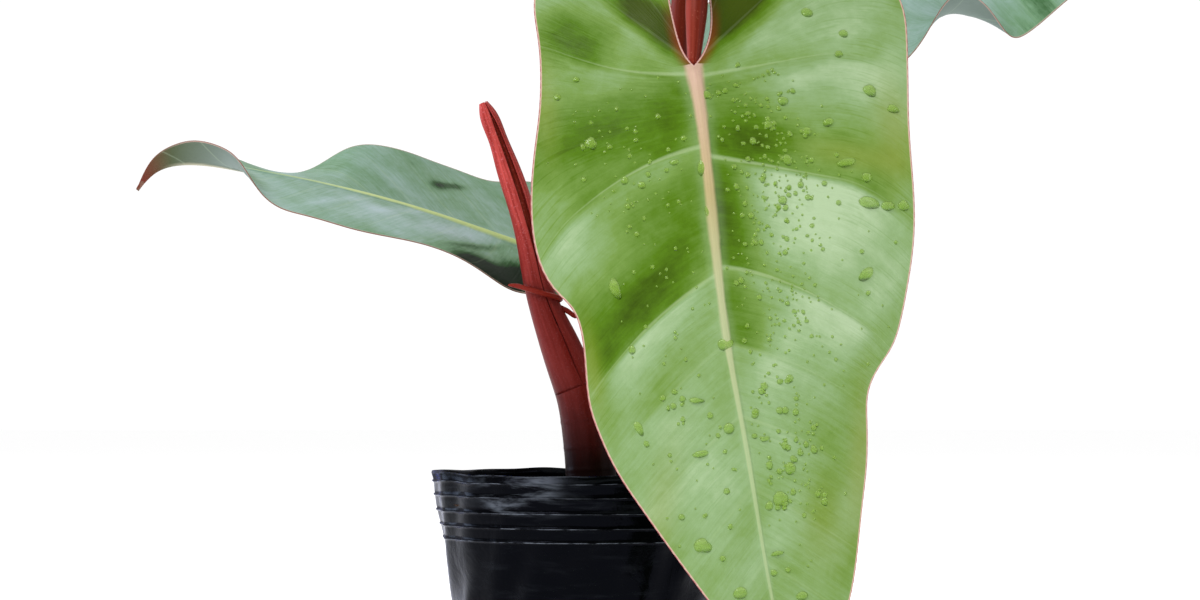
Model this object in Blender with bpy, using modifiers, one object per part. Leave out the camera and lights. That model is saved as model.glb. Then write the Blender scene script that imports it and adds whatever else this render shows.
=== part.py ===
"""Potted philodendron: a thin nursery pot of potting mix, one short stem and three arrow-shaped leaves.

The origin is the centre of the pot's underside and +Z is up. The front of the plant faces -Y. Plant points are
(x, y, height above the potting mix), so the plant follows the pot when the pot's size changes.
"""

import math

import bmesh
import bpy
import numpy as np

# Driving dimensions, in metres.
POT_HEIGHT = 0.135
POT_RIM_RADIUS = 0.075
POT_BASE_RADIUS = 0.051
POT_WALL = 0.001
POT_FLOOR = 0.0012
RIM_BAND = 0.0025  # height of the thicker band at the rim
RIM_BAND_DEPTH = 0.0006
RIB_DEPTH = 0.0007
RIB_HEIGHT = 0.0016
RIBS_BELOW_RIM = (0.0110, 0.0185, 0.0254, 0.0318, 0.0900)
DRAIN_HOLES = 8
DRAIN_RADIUS = 0.004
DRAIN_CIRCLE = 0.036  # radius of the ring of drain holes
POT_STEPS = 48

MIX_BELOW_RIM = 0.015
MIX_CROWN = 0.003  # how much higher the mix is in the middle

STEM_RADIUS = 0.0122  # where the stem leaves the mix
STEM_DEPTH = 0.025  # how far the stem goes down into the mix
STEM_TOP = 0.085
SHEATH_BASE = 0.055
SHEATH_WALL = 0.0011
SHEATH_STEP = 0.005  # height over which the stem steps in under the sheath
SHEATH_SLIT = 38.0  # degrees left open between the sheath's two edges
NEW_LEAF_TOP = 0.187

FRONT_PETIOLE_RADIUS = 0.0056
LEFT_PETIOLE_RADIUS = 0.0040
RIGHT_PETIOLE_RADIUS = 0.0045
AERIAL_ROOT_RADIUS = 0.0013

FRONT_LEAF_LENGTH = 0.298
LEFT_LEAF_LENGTH = 0.220
RIGHT_LEAF_LENGTH = 0.222
LEAF_THICKNESS = 0.001

GAP = 0.0003  # clearance between pieces that touch
WELD = 0.00002

MIX_TOP = POT_HEIGHT - MIX_BELOW_RIM

# The shoot is the stem and, above it, the sheath: centre points and outer radius as a share of STEM_RADIUS.
SHOOT = [
    ((0.0045, 0.000, -0.030), 0.84),
    ((0.0035, 0.000, -0.010), 0.98),
    ((0.0028, 0.000, 0.015), 1.00),
    ((0.0012, 0.000, 0.032), 0.98),
    ((-0.0022, 0.000, 0.050), 0.94),
    ((-0.0075, 0.000, 0.064), 0.86),
    ((-0.0130, 0.000, 0.078), 0.77),
    ((-0.0190, -0.001, 0.093), 0.63),
    ((-0.0235, -0.002, 0.108), 0.54),
    ((-0.0270, -0.003, 0.126), 0.51),
    ((-0.0321, -0.004, 0.146), 0.50),
    ((-0.0378, -0.005, 0.163), 0.46),
    ((-0.0424, -0.006, 0.176), 0.38),
    ((-0.0474, -0.007, 0.1885), 0.23),
    ((-0.0490, -0.007, 0.1925), 0.12),
]

# Petioles rise from inside the stem and arch over. Each one's last point is its leaf's attachment.
FRONT_PETIOLE = [
    (0.000, 0.001, 0.030), (0.014, 0.004, 0.052), (0.028, 0.012, 0.090), (0.0385, 0.019, 0.145),
    (0.0452, 0.021, 0.200), (0.0478, 0.016, 0.245), (0.0496, -0.003, 0.273), (0.0512, -0.033, 0.281),
    (0.0522, -0.064, 0.262), (0.0516, -0.084, 0.230),
]
LEFT_PETIOLE = [
    (-0.003, 0.002, 0.036), (0.006, 0.030, 0.055), (0.010, 0.058, 0.072), (0.010, 0.0735, 0.093),
    (-0.0005, 0.0700, 0.1125),
]
RIGHT_PETIOLE = [
    (0.002, 0.002, 0.014), (0.016, 0.018, 0.040), (0.030, 0.036, 0.082), (0.042, 0.055, 0.150),
    (0.057, 0.070, 0.213), (0.0720, 0.0760, 0.2510),
]

# Aerial roots start inside the shoot and go round it: (degrees round from +X, height, distance off its surface).
LEFT_ROOT = [
    (0, 0.0965, -0.0050), (-8, 0.0978, 0.0016), (-42, 0.0990, 0.0018), (-82, 0.1005, 0.0018),
    (-125, 0.1024, 0.0020), (-158, 0.1043, 0.0052), (-166, 0.1046, 0.0080),
]
RIGHT_ROOT = [(0, 0.0955, -0.0050), (-6, 0.0925, 0.0020), (-9, 0.0888, 0.0054)]

# A leaf's outline is given on each side of the midrib as (across, along) shares of its length, from the rear
# corner of the basal lobe round to the tip; "inner" runs from that corner along the sinus to the attachment.
# "section" rows are (share along, start angle, curl, lip curl) in degrees above the leaf's own face. The right
# side is the side of the midrib that is on the right when the leaf is seen from its face with the tip down.
FRONT_LEAF = {
    "length": FRONT_LEAF_LENGTH,
    "midrib": [
        (0.0497, -0.0950, 0.1999), (0.0523, -0.1020, 0.1795), (0.0550, -0.1065, 0.1545),
        (0.0583, -0.1090, 0.1207), (0.0637, -0.1090, 0.0759), (0.0725, -0.1070, 0.0268),
        (0.0796, -0.1045, -0.0156), (0.0890, -0.1030, -0.0640), (0.0960, -0.1012, -0.0935),
    ],
    "face": [(0.0, (0.05, -1, 0.25)), (0.35, (0.08, -1, 0.08)), (0.7, (0.10, -1, 0.0)), (1, (0.06, -1, -0.05))],
    "lobe_lean": -0.36,
    "right": {
        "outer": [
            (0.040, -0.262), (0.117, -0.295), (0.228, -0.268), (0.309, -0.195), (0.347, -0.107),
            (0.342, -0.027), (0.332, 0.037), (0.322, 0.121), (0.319, 0.218), (0.315, 0.279),
            (0.307, 0.329), (0.292, 0.391), (0.277, 0.440), (0.257, 0.480), (0.225, 0.515), (0.206, 0.544),
            (0.196, 0.584), (0.183, 0.646), (0.166, 0.701), (0.149, 0.755), (0.121, 0.832), (0.080, 0.906),
            (0.034, 0.968),
        ],
        "inner": [(0.042, -0.185), (0.042, -0.117), (0.034, -0.060), (0.016, -0.020)],
        "section": [(-0.3, -14, 4, 0), (0, -8, 2, 0), (0.35, -3, -10, 0), (0.7, 4, -20, 0), (1, 8, -6, 0)],
    },
    "left": {
        "outer": [
            (0.047, -0.262), (0.114, -0.282), (0.185, -0.248), (0.227, -0.174), (0.230, -0.097),
            (0.233, -0.030), (0.242, 0.035), (0.253, 0.091), (0.265, 0.159), (0.270, 0.228), (0.262, 0.287),
            (0.245, 0.322), (0.222, 0.352), (0.213, 0.393), (0.216, 0.443), (0.218, 0.487), (0.213, 0.523),
            (0.191, 0.604), (0.168, 0.656), (0.139, 0.715), (0.097, 0.797), (0.054, 0.889), (0.021, 0.962),
        ],
        "inner": [(0.025, -0.185), (0.021, -0.117), (0.018, -0.060), (0.010, -0.020)],
        "section": [(-0.3, -16, 4, 0), (0, -12, 6, 0), (0.35, -8, 2, 0), (0.7, 0, -12, 0), (1, 6, -6, 0)],
    },
}
LEFT_LEAF = {
    "length": LEFT_LEAF_LENGTH,
    "midrib": [
        (-0.0163, 0.0500, 0.1212), (-0.0351, 0.0420, 0.1273), (-0.0765, 0.0240, 0.1407),
        (-0.1149, 0.0110, 0.1511), (-0.1434, 0.0030, 0.1573), (-0.1669, -0.0030, 0.1612),
        (-0.1903, -0.0085, 0.1638), (-0.2078, -0.0140, 0.1594), (-0.2157, -0.0180, 0.1499),
    ],
    "face": [(0.0, (-0.25, -0.55, 1)), (0.4, (-0.1, -0.55, 1)), (0.75, (0.2, -0.5, 1)), (1, (-0.6, -0.3, 0.6))],
    "lobe_lean": 0.0,
    "right": {
        "outer": [
            (0.036, -0.070), (0.080, -0.076), (0.116, -0.030), (0.146, 0.045), (0.190, 0.115),
            (0.226, 0.190), (0.243, 0.280), (0.241, 0.360), (0.239, 0.450), (0.230, 0.514), (0.210, 0.581),
            (0.190, 0.644), (0.167, 0.698), (0.140, 0.748), (0.096, 0.802), (0.079, 0.860), (0.059, 0.896),
            (0.038, 0.928), (0.018, 0.957),
        ],
        "inner": [(0.024, -0.045), (0.012, -0.015)],
        "section": [
            (-0.3, -30, -6, 0), (0, -22, -8, 0), (0.15, -8, -8, 0), (0.3, 6, -8, 0), (0.5, 5, -4, 0),
            (0.63, 1, 0, 0), (0.72, 6, 6, 0), (0.79, 35, 12, 0), (0.87, 52, 12, 0), (1, 64, 10, 0),
        ],
    },
    "left": {
        "outer": [
            (0.054, -0.135), (0.162, -0.171), (0.270, -0.126), (0.324, 0.000), (0.286, 0.077),
            (0.266, 0.130), (0.266, 0.190), (0.260, 0.248), (0.247, 0.315), (0.232, 0.396), (0.226, 0.455),
            (0.220, 0.495), (0.204, 0.536), (0.180, 0.581), (0.162, 0.631), (0.144, 0.689), (0.122, 0.748),
            (0.086, 0.820), (0.050, 0.887), (0.023, 0.946),
        ],
        "inner": [(0.036, -0.100), (0.027, -0.045)],
        "section": [
            (-0.3, 8, 6, 0), (0, 8, 6, 0), (0.3, 9, 4, 0), (0.46, 11, 2, 0), (0.56, -8, -4, 0),
            (0.66, -18, -6, 0), (0.76, -12, 0, 0), (0.86, 0, 0, 0), (1, 8, 0, 0),
        ],
    },
}
RIGHT_LEAF = {
    "length": RIGHT_LEAF_LENGTH,
    "midrib": [
        (0.0807, 0.0700, 0.2620), (0.1243, 0.0830, 0.2800), (0.1698, 0.0950, 0.2895),
        (0.2123, 0.1050, 0.2905), (0.2548, 0.1130, 0.2864), (0.2912, 0.1190, 0.2743),
    ],
    "face": [(0.0, (0.1, -0.8, 0.6)), (0.5, (0.1, -0.8, 0.6)), (1, (0.3, -0.7, 0.6))],
    "lobe_lean": 0.0,
    "right": {
        "outer": [
            (0.054, -0.204), (0.163, -0.249), (0.272, -0.181), (0.317, -0.023), (0.326, 0.136),
            (0.317, 0.294), (0.290, 0.453), (0.240, 0.611), (0.163, 0.770), (0.072, 0.906),
        ],
        "inner": [(0.036, -0.136), (0.027, -0.054)],
        "section": [(-0.3, -10, 0, 0), (0, -10, 0, 0), (0.5, -10, -10, 0), (1, 0, 0, 0)],
    },
    "left": {
        "outer": [
            (0.063, -0.249), (0.172, -0.281), (0.281, -0.204), (0.322, -0.036), (0.331, 0.136),
            (0.333, 0.294), (0.325, 0.453), (0.290, 0.611), (0.200, 0.770), (0.082, 0.906),
        ],
        "inner": [(0.036, -0.136), (0.027, -0.054)],
        "section": [
            (-0.3, -30, 0, 0), (0, -24, 0, 0), (0.30, -12, 0, 25), (0.50, -15, 0, 165), (0.68, -20, 0, 15),
            (0.84, -8, 0, 0), (1, 0, 0, 0),
        ],
    },
}


# ---------------------------------------------------------------- curves


def unit(vectors):
    return vectors / np.maximum(np.linalg.norm(vectors, axis=-1, keepdims=True), 1e-12)


def spline(knots, values, where):
    """Natural cubic spline through values at the knots, read at where."""
    x = np.asarray(knots, float)
    y = np.asarray(values, float).reshape(len(x), -1)
    step = np.diff(x)
    matrix = np.eye(len(x))
    right_side = np.zeros_like(y)
    for i in range(1, len(x) - 1):
        matrix[i, i - 1 : i + 2] = step[i - 1], 2 * (step[i - 1] + step[i]), step[i]
        right_side[i] = 6 * ((y[i + 1] - y[i]) / step[i] - (y[i] - y[i - 1]) / step[i - 1])
    bend = np.linalg.solve(matrix, right_side)
    s = np.clip(np.asarray(where, float).ravel(), x[0], x[-1])
    i = np.clip(np.searchsorted(x, s, side="right") - 1, 0, len(x) - 2)
    h = step[i][:, None]
    t = (s - x[i])[:, None]
    u = h - t
    result = (bend[i] * u**3 + bend[i + 1] * t**3) / (6 * h)
    result += (y[i] / h - bend[i] * h / 6) * u + (y[i + 1] / h - bend[i + 1] * h / 6) * t
    return result.reshape(np.shape(where) + y.shape[1:]) if y.shape[1] > 1 else result.reshape(np.shape(where))


def chord_shares(points):
    """Each point's share of the length of the straight lines through the points."""
    steps = np.linalg.norm(np.diff(np.asarray(points, float), axis=0), axis=1)
    run = np.concatenate([[0.0], np.cumsum(steps)])
    return run / run[-1], run[-1]


def even_points(points, count, dense=800):
    """count points evenly spaced along the smooth curve through points, and the curve's length."""
    curve = spline(chord_shares(points)[0], points, np.linspace(0, 1, dense))
    shares, length = chord_shares(curve)
    where = np.linspace(0, 1, count)
    return np.stack([np.interp(where, shares, column) for column in curve.T], 1), length


def in_world(points):
    """Plant points (x, y, height above the mix) in world coordinates."""
    return np.asarray(points, float) + (0.0, 0.0, MIX_TOP)


# ---------------------------------------------------------------- objects


def new_collection(name, hidden=False):
    collection = bpy.data.collections.new(name)
    bpy.context.scene.collection.children.link(collection)
    collection.hide_render = hidden
    return collection


def material(name, colour, roughness, metallic=0.0):
    made = bpy.data.materials.new(name)
    made.use_nodes = True
    shader = made.node_tree.nodes["Principled BSDF"]
    shader.inputs["Base Color"].default_value = (*colour, 1.0)
    shader.inputs["Roughness"].default_value = roughness
    shader.inputs["Metallic"].default_value = metallic
    return made


def add_object(name, mesh, look, collection):
    made = bpy.data.objects.new(name, mesh)
    collection.objects.link(made)
    if look:
        mesh.materials.clear()
        mesh.materials.append(look)
    return made


def weld(mesh):
    """Merges points that meet, turns the faces outwards and shades them smooth."""
    work = bmesh.new()
    work.from_mesh(mesh)
    bmesh.ops.remove_doubles(work, verts=work.verts, dist=WELD)
    bmesh.ops.recalc_face_normals(work, faces=work.faces)
    work.to_mesh(mesh)
    work.free()
    mesh.shade_smooth()
    mesh.set_sharp_from_angle(angle=math.radians(40))


def mesh_from(name, points, faces):
    mesh = bpy.data.meshes.new(name)
    mesh.from_pydata([tuple(point) for point in points], [], faces)
    weld(mesh)
    return mesh


def tube_mesh(name, points, radii, count, resolution=4):
    """A capped round tube along the smooth curve through points, as a welded mesh."""
    path, _ = even_points(points, count)
    widths = spline(chord_shares(points)[0], radii, np.linspace(0, 1, count))
    curve = bpy.data.curves.new(name, "CURVE")
    curve.dimensions = "3D"
    curve.bevel_depth = 1.0
    curve.bevel_resolution = resolution
    curve.use_fill_caps = True
    line = curve.splines.new("POLY")
    line.points.add(count - 1)
    line.points.foreach_set("co", np.column_stack([path, np.ones(count)]).ravel())
    line.points.foreach_set("radius", widths)
    guide = bpy.data.objects.new(name, curve)
    bpy.context.scene.collection.objects.link(guide)
    bpy.context.view_layer.update()
    mesh = bpy.data.meshes.new_from_object(guide.evaluated_get(bpy.context.evaluated_depsgraph_get()))
    bpy.data.objects.remove(guide)
    bpy.data.curves.remove(curve)
    mesh.name = name
    weld(mesh)
    return mesh


def add_cutter(name, mesh, cutters):
    cutter = add_object(name, mesh, None, cutters)
    cutter.hide_render = True
    cutter.display_type = "WIRE"
    return cutter


def cut(piece, cutter):
    boolean = piece.modifiers.new("cut " + cutter.name, "BOOLEAN")
    boolean.operation = "DIFFERENCE"
    boolean.solver = "EXACT"
    boolean.object = cutter


def turned(name, profile, steps, look, collection):
    """A solid turned about Z from a closed profile of (radius, height) points, outer side running down."""
    mesh = bpy.data.meshes.new(name)
    points = [(radius, 0.0, height) for radius, height in profile]
    mesh.from_pydata(points, [(i, i + 1) for i in range(len(points) - 1)], [])
    made = add_object(name, mesh, look, collection)
    screw = made.modifiers.new("turn", "SCREW")
    screw.axis = "Z"
    screw.angle = math.tau
    screw.steps = steps
    screw.render_steps = steps
    screw.use_merge_vertices = True
    screw.merge_threshold = WELD
    screw.use_smooth_shade = True
    return made


# ---------------------------------------------------------------- pot and mix


def pot_radius(height):
    """Outer radius of the pot's plain wall at a height."""
    return POT_BASE_RADIUS + (POT_RIM_RADIUS - RIM_BAND_DEPTH - POT_BASE_RADIUS) * height / POT_HEIGHT


def pot_profile():
    inside = [(0.0, POT_FLOOR), (pot_radius(POT_FLOOR) - POT_WALL, POT_FLOOR)]
    inside.append((pot_radius(POT_HEIGHT) - POT_WALL, POT_HEIGHT))
    outside = [(POT_RIM_RADIUS, POT_HEIGHT), (POT_RIM_RADIUS, POT_HEIGHT - RIM_BAND)]
    outside.append((pot_radius(POT_HEIGHT - RIM_BAND * 1.4), POT_HEIGHT - RIM_BAND * 1.4))
    for below in RIBS_BELOW_RIM:
        for offset, bulge in ((0.5, 0.0), (0.0, RIB_DEPTH), (-0.5, 0.0)):
            height = POT_HEIGHT - below + offset * RIB_HEIGHT
            outside.append((pot_radius(height) + bulge, height))
    outside += [(POT_BASE_RADIUS, 0.001), (POT_BASE_RADIUS - 0.001, 0.0), (0.0, 0.0)]
    return inside + outside


def add_pot(look, collection, cutters):
    pot = turned("nursery_pot", pot_profile(), POT_STEPS, look, collection)
    work = bmesh.new()
    for i in range(DRAIN_HOLES):
        angle = math.tau * (i + 0.5) / DRAIN_HOLES
        made = bmesh.ops.create_cone(
            work, cap_ends=True, segments=16, radius1=DRAIN_RADIUS, radius2=DRAIN_RADIUS, depth=POT_FLOOR * 6
        )
        place = (DRAIN_CIRCLE * math.cos(angle), DRAIN_CIRCLE * math.sin(angle), POT_FLOOR / 2)
        bmesh.ops.translate(work, verts=made["verts"], vec=place)
    mesh = bpy.data.meshes.new("drain_holes")
    work.to_mesh(mesh)
    work.free()
    cut(pot, add_cutter("drain_holes", mesh, cutters))


def add_mix(look, collection, stem_cutter):
    """The mix fills the pot's inside, a gap away from its wall and floor."""
    low = POT_FLOOR + GAP
    wall = POT_WALL + GAP
    top_radius = pot_radius(MIX_TOP) - wall
    profile = [(0.0, MIX_TOP + MIX_CROWN)]
    profile += [
        (top_radius * share, MIX_TOP + MIX_CROWN * (1 - share**2)) for share in (0.3, 0.55, 0.8, 0.93, 1.0)
    ]
    profile += [(pot_radius(low) - wall, low), (0.0, low)]
    mix = turned("potting_mix", profile, POT_STEPS, look, collection)
    cut(mix, stem_cutter)


# ---------------------------------------------------------------- stem and sheath


SHOOT_SHARES = chord_shares([point for point, _ in SHOOT])[0]


def shoot_at(heights):
    """Centre points and outer radii of the shoot at heights above the mix."""
    centres = np.array([point for point, _ in SHOOT])
    shares = np.interp(heights, centres[:, 2], SHOOT_SHARES)
    radii = spline(SHOOT_SHARES, [share * STEM_RADIUS for _, share in SHOOT], shares)
    return in_world(spline(SHOOT_SHARES, centres, shares)), radii


def sheathed_radius(heights, radii, clearance=0.0):
    """The shoot's own radius below the sheath's base, stepping in to what fits inside the sheath above it."""
    step = np.clip((heights - (SHEATH_BASE - 1.3 * SHEATH_STEP)) / SHEATH_STEP, 0, 1)
    return radii - (SHEATH_WALL + GAP) * step + clearance


def stem_mesh(name, clearance=0.0):
    heights = np.linspace(-STEM_DEPTH - clearance, STEM_TOP + clearance, 24)
    centres, radii = shoot_at(heights)
    radii = sheathed_radius(heights, radii, clearance)
    radii[-1] *= 0.7
    return tube_mesh(name, centres, radii, 36)


def add_sheath(look, collection, stem_cutter):
    """A trough of C-shaped sections whose open side faces the front, closed to a small cap at its tip."""
    heights = np.linspace(SHEATH_BASE, SHOOT[-1][0][2], 26)
    centres, outer = shoot_at(heights)
    along = unit(np.gradient(centres, axis=0))
    front = np.array([0.35, -1.0, 0.0])
    front = unit(front - along * (along @ front)[:, None])
    side = np.cross(along, front)
    inner = np.maximum(outer - SHEATH_WALL, outer * 0.35)
    half = math.radians(SHEATH_SLIT / 2)
    angles = np.linspace(half, math.tau - half, 17)
    loop = np.concatenate([angles, angles[::-1]])
    rings = np.concatenate([np.repeat(outer[:, None], 17, 1), np.repeat(inner[:, None], 17, 1)], 1)
    turn = np.cos(loop)[None, :, None] * front[:, None] + np.sin(loop)[None, :, None] * side[:, None]
    points = (centres[:, None] + rings[..., None] * turn).reshape(-1, 3)
    size = len(loop)
    faces = []
    for row in range(len(heights) - 1):
        for i in range(size):
            j = (i + 1) % size
            faces.append((row * size + i, row * size + j, (row + 1) * size + j, (row + 1) * size + i))
    for start in (0, (len(heights) - 1) * size):
        for i in range(16):
            faces.append((start + i, start + i + 1, start + size - 2 - i, start + size - 1 - i))
    sheath = add_object("cataphyll", mesh_from("cataphyll", points, faces), look, collection)
    cut(sheath, stem_cutter)


def add_new_leaf(look, collection):
    """The next leaf, rolled tight inside the sheath."""
    heights = np.linspace(STEM_TOP + GAP * 4, NEW_LEAF_TOP, 14)
    centres, outer = shoot_at(heights)
    radii = np.maximum(outer - SHEATH_WALL - GAP * 2, outer * 0.25)
    radii[0] *= 0.75
    radii[-1] *= 0.5
    add_object("rolled_new_leaf", tube_mesh("rolled_new_leaf", centres, radii, 20), look, collection)


def add_petiole(name, points, radius, tip_share, look, collection, cutters, stem_cutter):
    """A leaf stalk that tapers to its leaf. Returns the slightly larger cutter that its leaf is trimmed with."""
    world = in_world(points)
    shares = chord_shares(points)[0]
    radii = radius * np.interp(shares, [0, 0.12, 0.5, 0.8, 0.93, 1], [1.25, 1.1, 0.95, 1.0, 0.95, tip_share])
    count = max(14, len(points) * 3)
    petiole = add_object(name, tube_mesh(name, world, radii, count), look, collection)
    cut(petiole, stem_cutter)
    return add_cutter(name + "_clearance", tube_mesh(name + "_clearance", world, radii + GAP, count), cutters)


def add_root(name, route, look, collection, shoot_cutter):
    """A blunt aerial root that leaves the shoot and lies round it."""
    angles, heights, standoff = np.array(route, float).T
    centres, radii = shoot_at(heights)
    around = np.stack([np.cos(np.radians(angles)), np.sin(np.radians(angles)), np.zeros(len(angles))], 1)
    world = centres + around * (radii + standoff)[:, None]
    shares = chord_shares(world)[0]
    radii = AERIAL_ROOT_RADIUS * np.interp(shares, [0, 0.5, 0.85, 1], [1.0, 1.0, 0.9, 0.45])
    root = add_object(name, tube_mesh(name, world, radii, 18, 3), look, collection)
    cut(root, shoot_cutter)


# ---------------------------------------------------------------- leaves


def leaf_frame(leaf, count=300):
    """Points along the midrib with their run, tangent, face normal and the direction across to the right."""
    midrib = in_world(leaf["midrib"])
    natural = even_points(midrib, 2)[1]
    midrib = midrib[0] + (midrib - midrib[0]) * leaf["length"] / natural
    centre, length = even_points(midrib, count)
    tangent = unit(np.gradient(centre, axis=0))
    shares = np.linspace(0, 1, count)
    hint = spline([share for share, _ in leaf["face"]], [face for _, face in leaf["face"]], shares)
    normal = unit(hint - (hint * tangent).sum(1, keepdims=True) * tangent)
    return shares * length, centre, tangent, normal, np.cross(normal, tangent), length


def outer_edge(half, count):
    """Evenly spaced points of one side's outline, from the lobe's rear corner to the tip, in leaf lengths."""
    return even_points(half["outer"] + [(0.0, 1.0)], count)[0]


def leaf_points(leaf, side, across, along):
    """World points of (across, along), both in leaf lengths, on one side of the midrib.

    Each point is the midrib point plus the side and face directions weighted by the sine and cosine of an angle
    that starts at the section's own value and curls further the nearer the point is to the edge.
    """
    half = leaf[side]
    run, centre, tangent, normal, sideways, length = leaf_frame(leaf)

    def read(values, where):
        return np.stack([np.interp(where, run, column) for column in values.T], -1)

    where = np.clip(along, 0, 1) * length
    base = read(centre, where)
    t = unit(read(tangent, where))
    n = unit(read(normal, where))
    b = unit(read(sideways, where)) * (1 if side == "right" else -1)
    back = np.minimum(along, 0.0)[..., None]
    base = base + t * back * length + n * leaf["lobe_lean"] * back**2 * length
    edge = outer_edge(half, 1200)
    start = int(np.argmin(edge[:, 1]))
    width = np.interp(np.maximum(along, 0), edge[start:, 1], edge[start:, 0])
    share = np.clip(across / np.maximum(width, 0.013), 0, 1.15)
    rows = np.array(half["section"], float)
    angles = np.radians(spline(rows[:, 0], rows[:, 1:], np.clip(along, rows[0, 0], 1)))
    steps = (np.arange(12) + 0.5) / 12
    reach = share[..., None] * steps
    tilt = angles[..., 0:1] + angles[..., 1:2] * reach + angles[..., 2:3] * reach**4
    out = across * length * np.cos(tilt).mean(-1)
    rise = across * length * np.sin(tilt).mean(-1)
    return base + b * out[..., None] + n * rise[..., None]


def leaf_grid(half, rows, columns):
    """Ladder of (across, along) points from the midrib or sinus edge out to the outline."""
    lobe_share = 0.27
    q = np.linspace(0, 1, rows)
    outer = outer_edge(half, rows)
    edge_in = even_points([half["outer"][0]] + half["inner"] + [(0.0, 0.0)], 200)[0]
    inner = np.zeros((rows, 2))
    lobe = q <= lobe_share
    for k in range(2):
        inner[lobe, k] = np.interp(q[lobe], np.linspace(0, lobe_share, 200), edge_in[:, k])
    inner[~lobe, 1] = ((q[~lobe] - lobe_share) / (1 - lobe_share)) ** 1.5
    t = np.linspace(0, 1, columns)[None]
    across = inner[:, :1] + (outer[:, :1] - inner[:, :1]) * t
    bend = 1 + 0.35 * np.clip((q - lobe_share) / 0.15, 0, 1)[:, None]
    along = inner[:, 1:] + (outer[:, 1:] - inner[:, 1:]) * t**bend
    return across, along


def add_leaf(name, leaf, look, collection, petiole_cutter, rows=37, columns=6):
    """One blade: both halves on their ladders, joined along the midrib, given a thickness and trimmed."""
    points = []
    faces = []
    for side in ("right", "left"):
        across, along = leaf_grid(leaf[side], rows, columns)
        start = len(points)
        points += list(leaf_points(leaf, side, across, along).reshape(-1, 3))
        for row in range(rows - 1):
            for i in range(columns - 1):
                a = start + row * columns + i
                quad = (a, a + columns, a + columns + 1, a + 1)
                faces.append(quad if side == "right" else quad[::-1])
    blade = add_object(name, mesh_from(name, points, faces), look, collection)
    skin = blade.modifiers.new("thickness", "SOLIDIFY")
    skin.thickness = LEAF_THICKNESS
    skin.offset = 0.0
    cut(blade, petiole_cutter)


# ---------------------------------------------------------------- the plant


def main():
    for old in list(bpy.data.objects):
        bpy.data.objects.remove(old)
    parts = new_collection("potted_philodendron")
    cutters = new_collection("cutters", hidden=True)

    plastic = material("pot plastic", (0.004, 0.004, 0.006), 0.25)
    mix_look = material("potting mix", (0.050, 0.030, 0.018), 0.95)
    stem_look = material("stem", (0.20, 0.022, 0.018), 0.45)
    sheath_look = material("sheath", (0.32, 0.045, 0.032), 0.42)
    new_leaf_look = material("new leaf", (0.42, 0.12, 0.09), 0.45)
    petiole_look = material("petiole", (0.30, 0.055, 0.025), 0.40)
    root_look = material("aerial root", (0.55, 0.07, 0.03), 0.50)
    leaf_look = material("leaf", (0.22, 0.36, 0.10), 0.38)

    stem_cutter = add_cutter("stem_clearance", stem_mesh("stem_clearance", GAP), cutters)
    heights = np.linspace(-STEM_DEPTH, SHOOT[-1][0][2], 30)
    centres, radii = shoot_at(heights)
    shoot_cutter = add_cutter(
        "shoot_clearance", tube_mesh("shoot_clearance", centres, radii + GAP, 60, 9), cutters
    )

    add_pot(plastic, parts, cutters)
    add_mix(mix_look, parts, stem_cutter)
    add_object("main_stem", stem_mesh("main_stem"), stem_look, parts)
    add_sheath(sheath_look, parts, stem_cutter)
    add_new_leaf(new_leaf_look, parts)
    add_root("aerial_root_left", LEFT_ROOT, root_look, parts, shoot_cutter)
    add_root("aerial_root_right", RIGHT_ROOT, root_look, parts, shoot_cutter)
    plant = (
        ("front", FRONT_PETIOLE, FRONT_PETIOLE_RADIUS, 0.62, FRONT_LEAF),
        ("left", LEFT_PETIOLE, LEFT_PETIOLE_RADIUS, 0.70, LEFT_LEAF),
        ("right", RIGHT_PETIOLE, RIGHT_PETIOLE_RADIUS, 0.70, RIGHT_LEAF),
    )
    for name, points, radius, tip_share, leaf in plant:
        route = points + leaf["midrib"][:1]
        clearance = add_petiole(
            "petiole_" + name, route, radius, tip_share, petiole_look, parts, cutters, stem_cutter
        )
        add_leaf("leaf_" + name, leaf, leaf_look, parts, clearance)


main()
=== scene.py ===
"""Looks of a potted philodendron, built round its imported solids: leaves, stalks, shoot, pot, mix and drops.

World units are metres, +Z is up and the front of the plant faces -Y. Plant points are (x, y, height above the
potting mix). Each surface is a numpy function of two parameters, given in words in its function's docstring.
"""

import math

import bmesh
import bpy
import numpy as np
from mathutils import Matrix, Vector


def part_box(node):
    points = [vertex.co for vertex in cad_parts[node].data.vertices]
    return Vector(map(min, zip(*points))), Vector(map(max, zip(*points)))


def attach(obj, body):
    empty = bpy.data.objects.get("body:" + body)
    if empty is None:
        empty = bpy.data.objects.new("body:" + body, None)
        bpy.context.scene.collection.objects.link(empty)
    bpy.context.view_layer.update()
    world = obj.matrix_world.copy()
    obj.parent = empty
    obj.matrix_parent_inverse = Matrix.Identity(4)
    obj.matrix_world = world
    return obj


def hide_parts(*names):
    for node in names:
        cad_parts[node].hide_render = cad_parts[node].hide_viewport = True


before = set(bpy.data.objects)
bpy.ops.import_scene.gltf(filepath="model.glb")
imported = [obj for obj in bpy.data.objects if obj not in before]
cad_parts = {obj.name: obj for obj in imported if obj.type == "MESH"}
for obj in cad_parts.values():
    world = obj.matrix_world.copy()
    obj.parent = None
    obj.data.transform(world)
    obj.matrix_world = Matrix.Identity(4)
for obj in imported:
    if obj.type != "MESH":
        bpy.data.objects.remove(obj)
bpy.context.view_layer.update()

# ---------------------------------------------------------------- sizes, in metres

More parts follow.
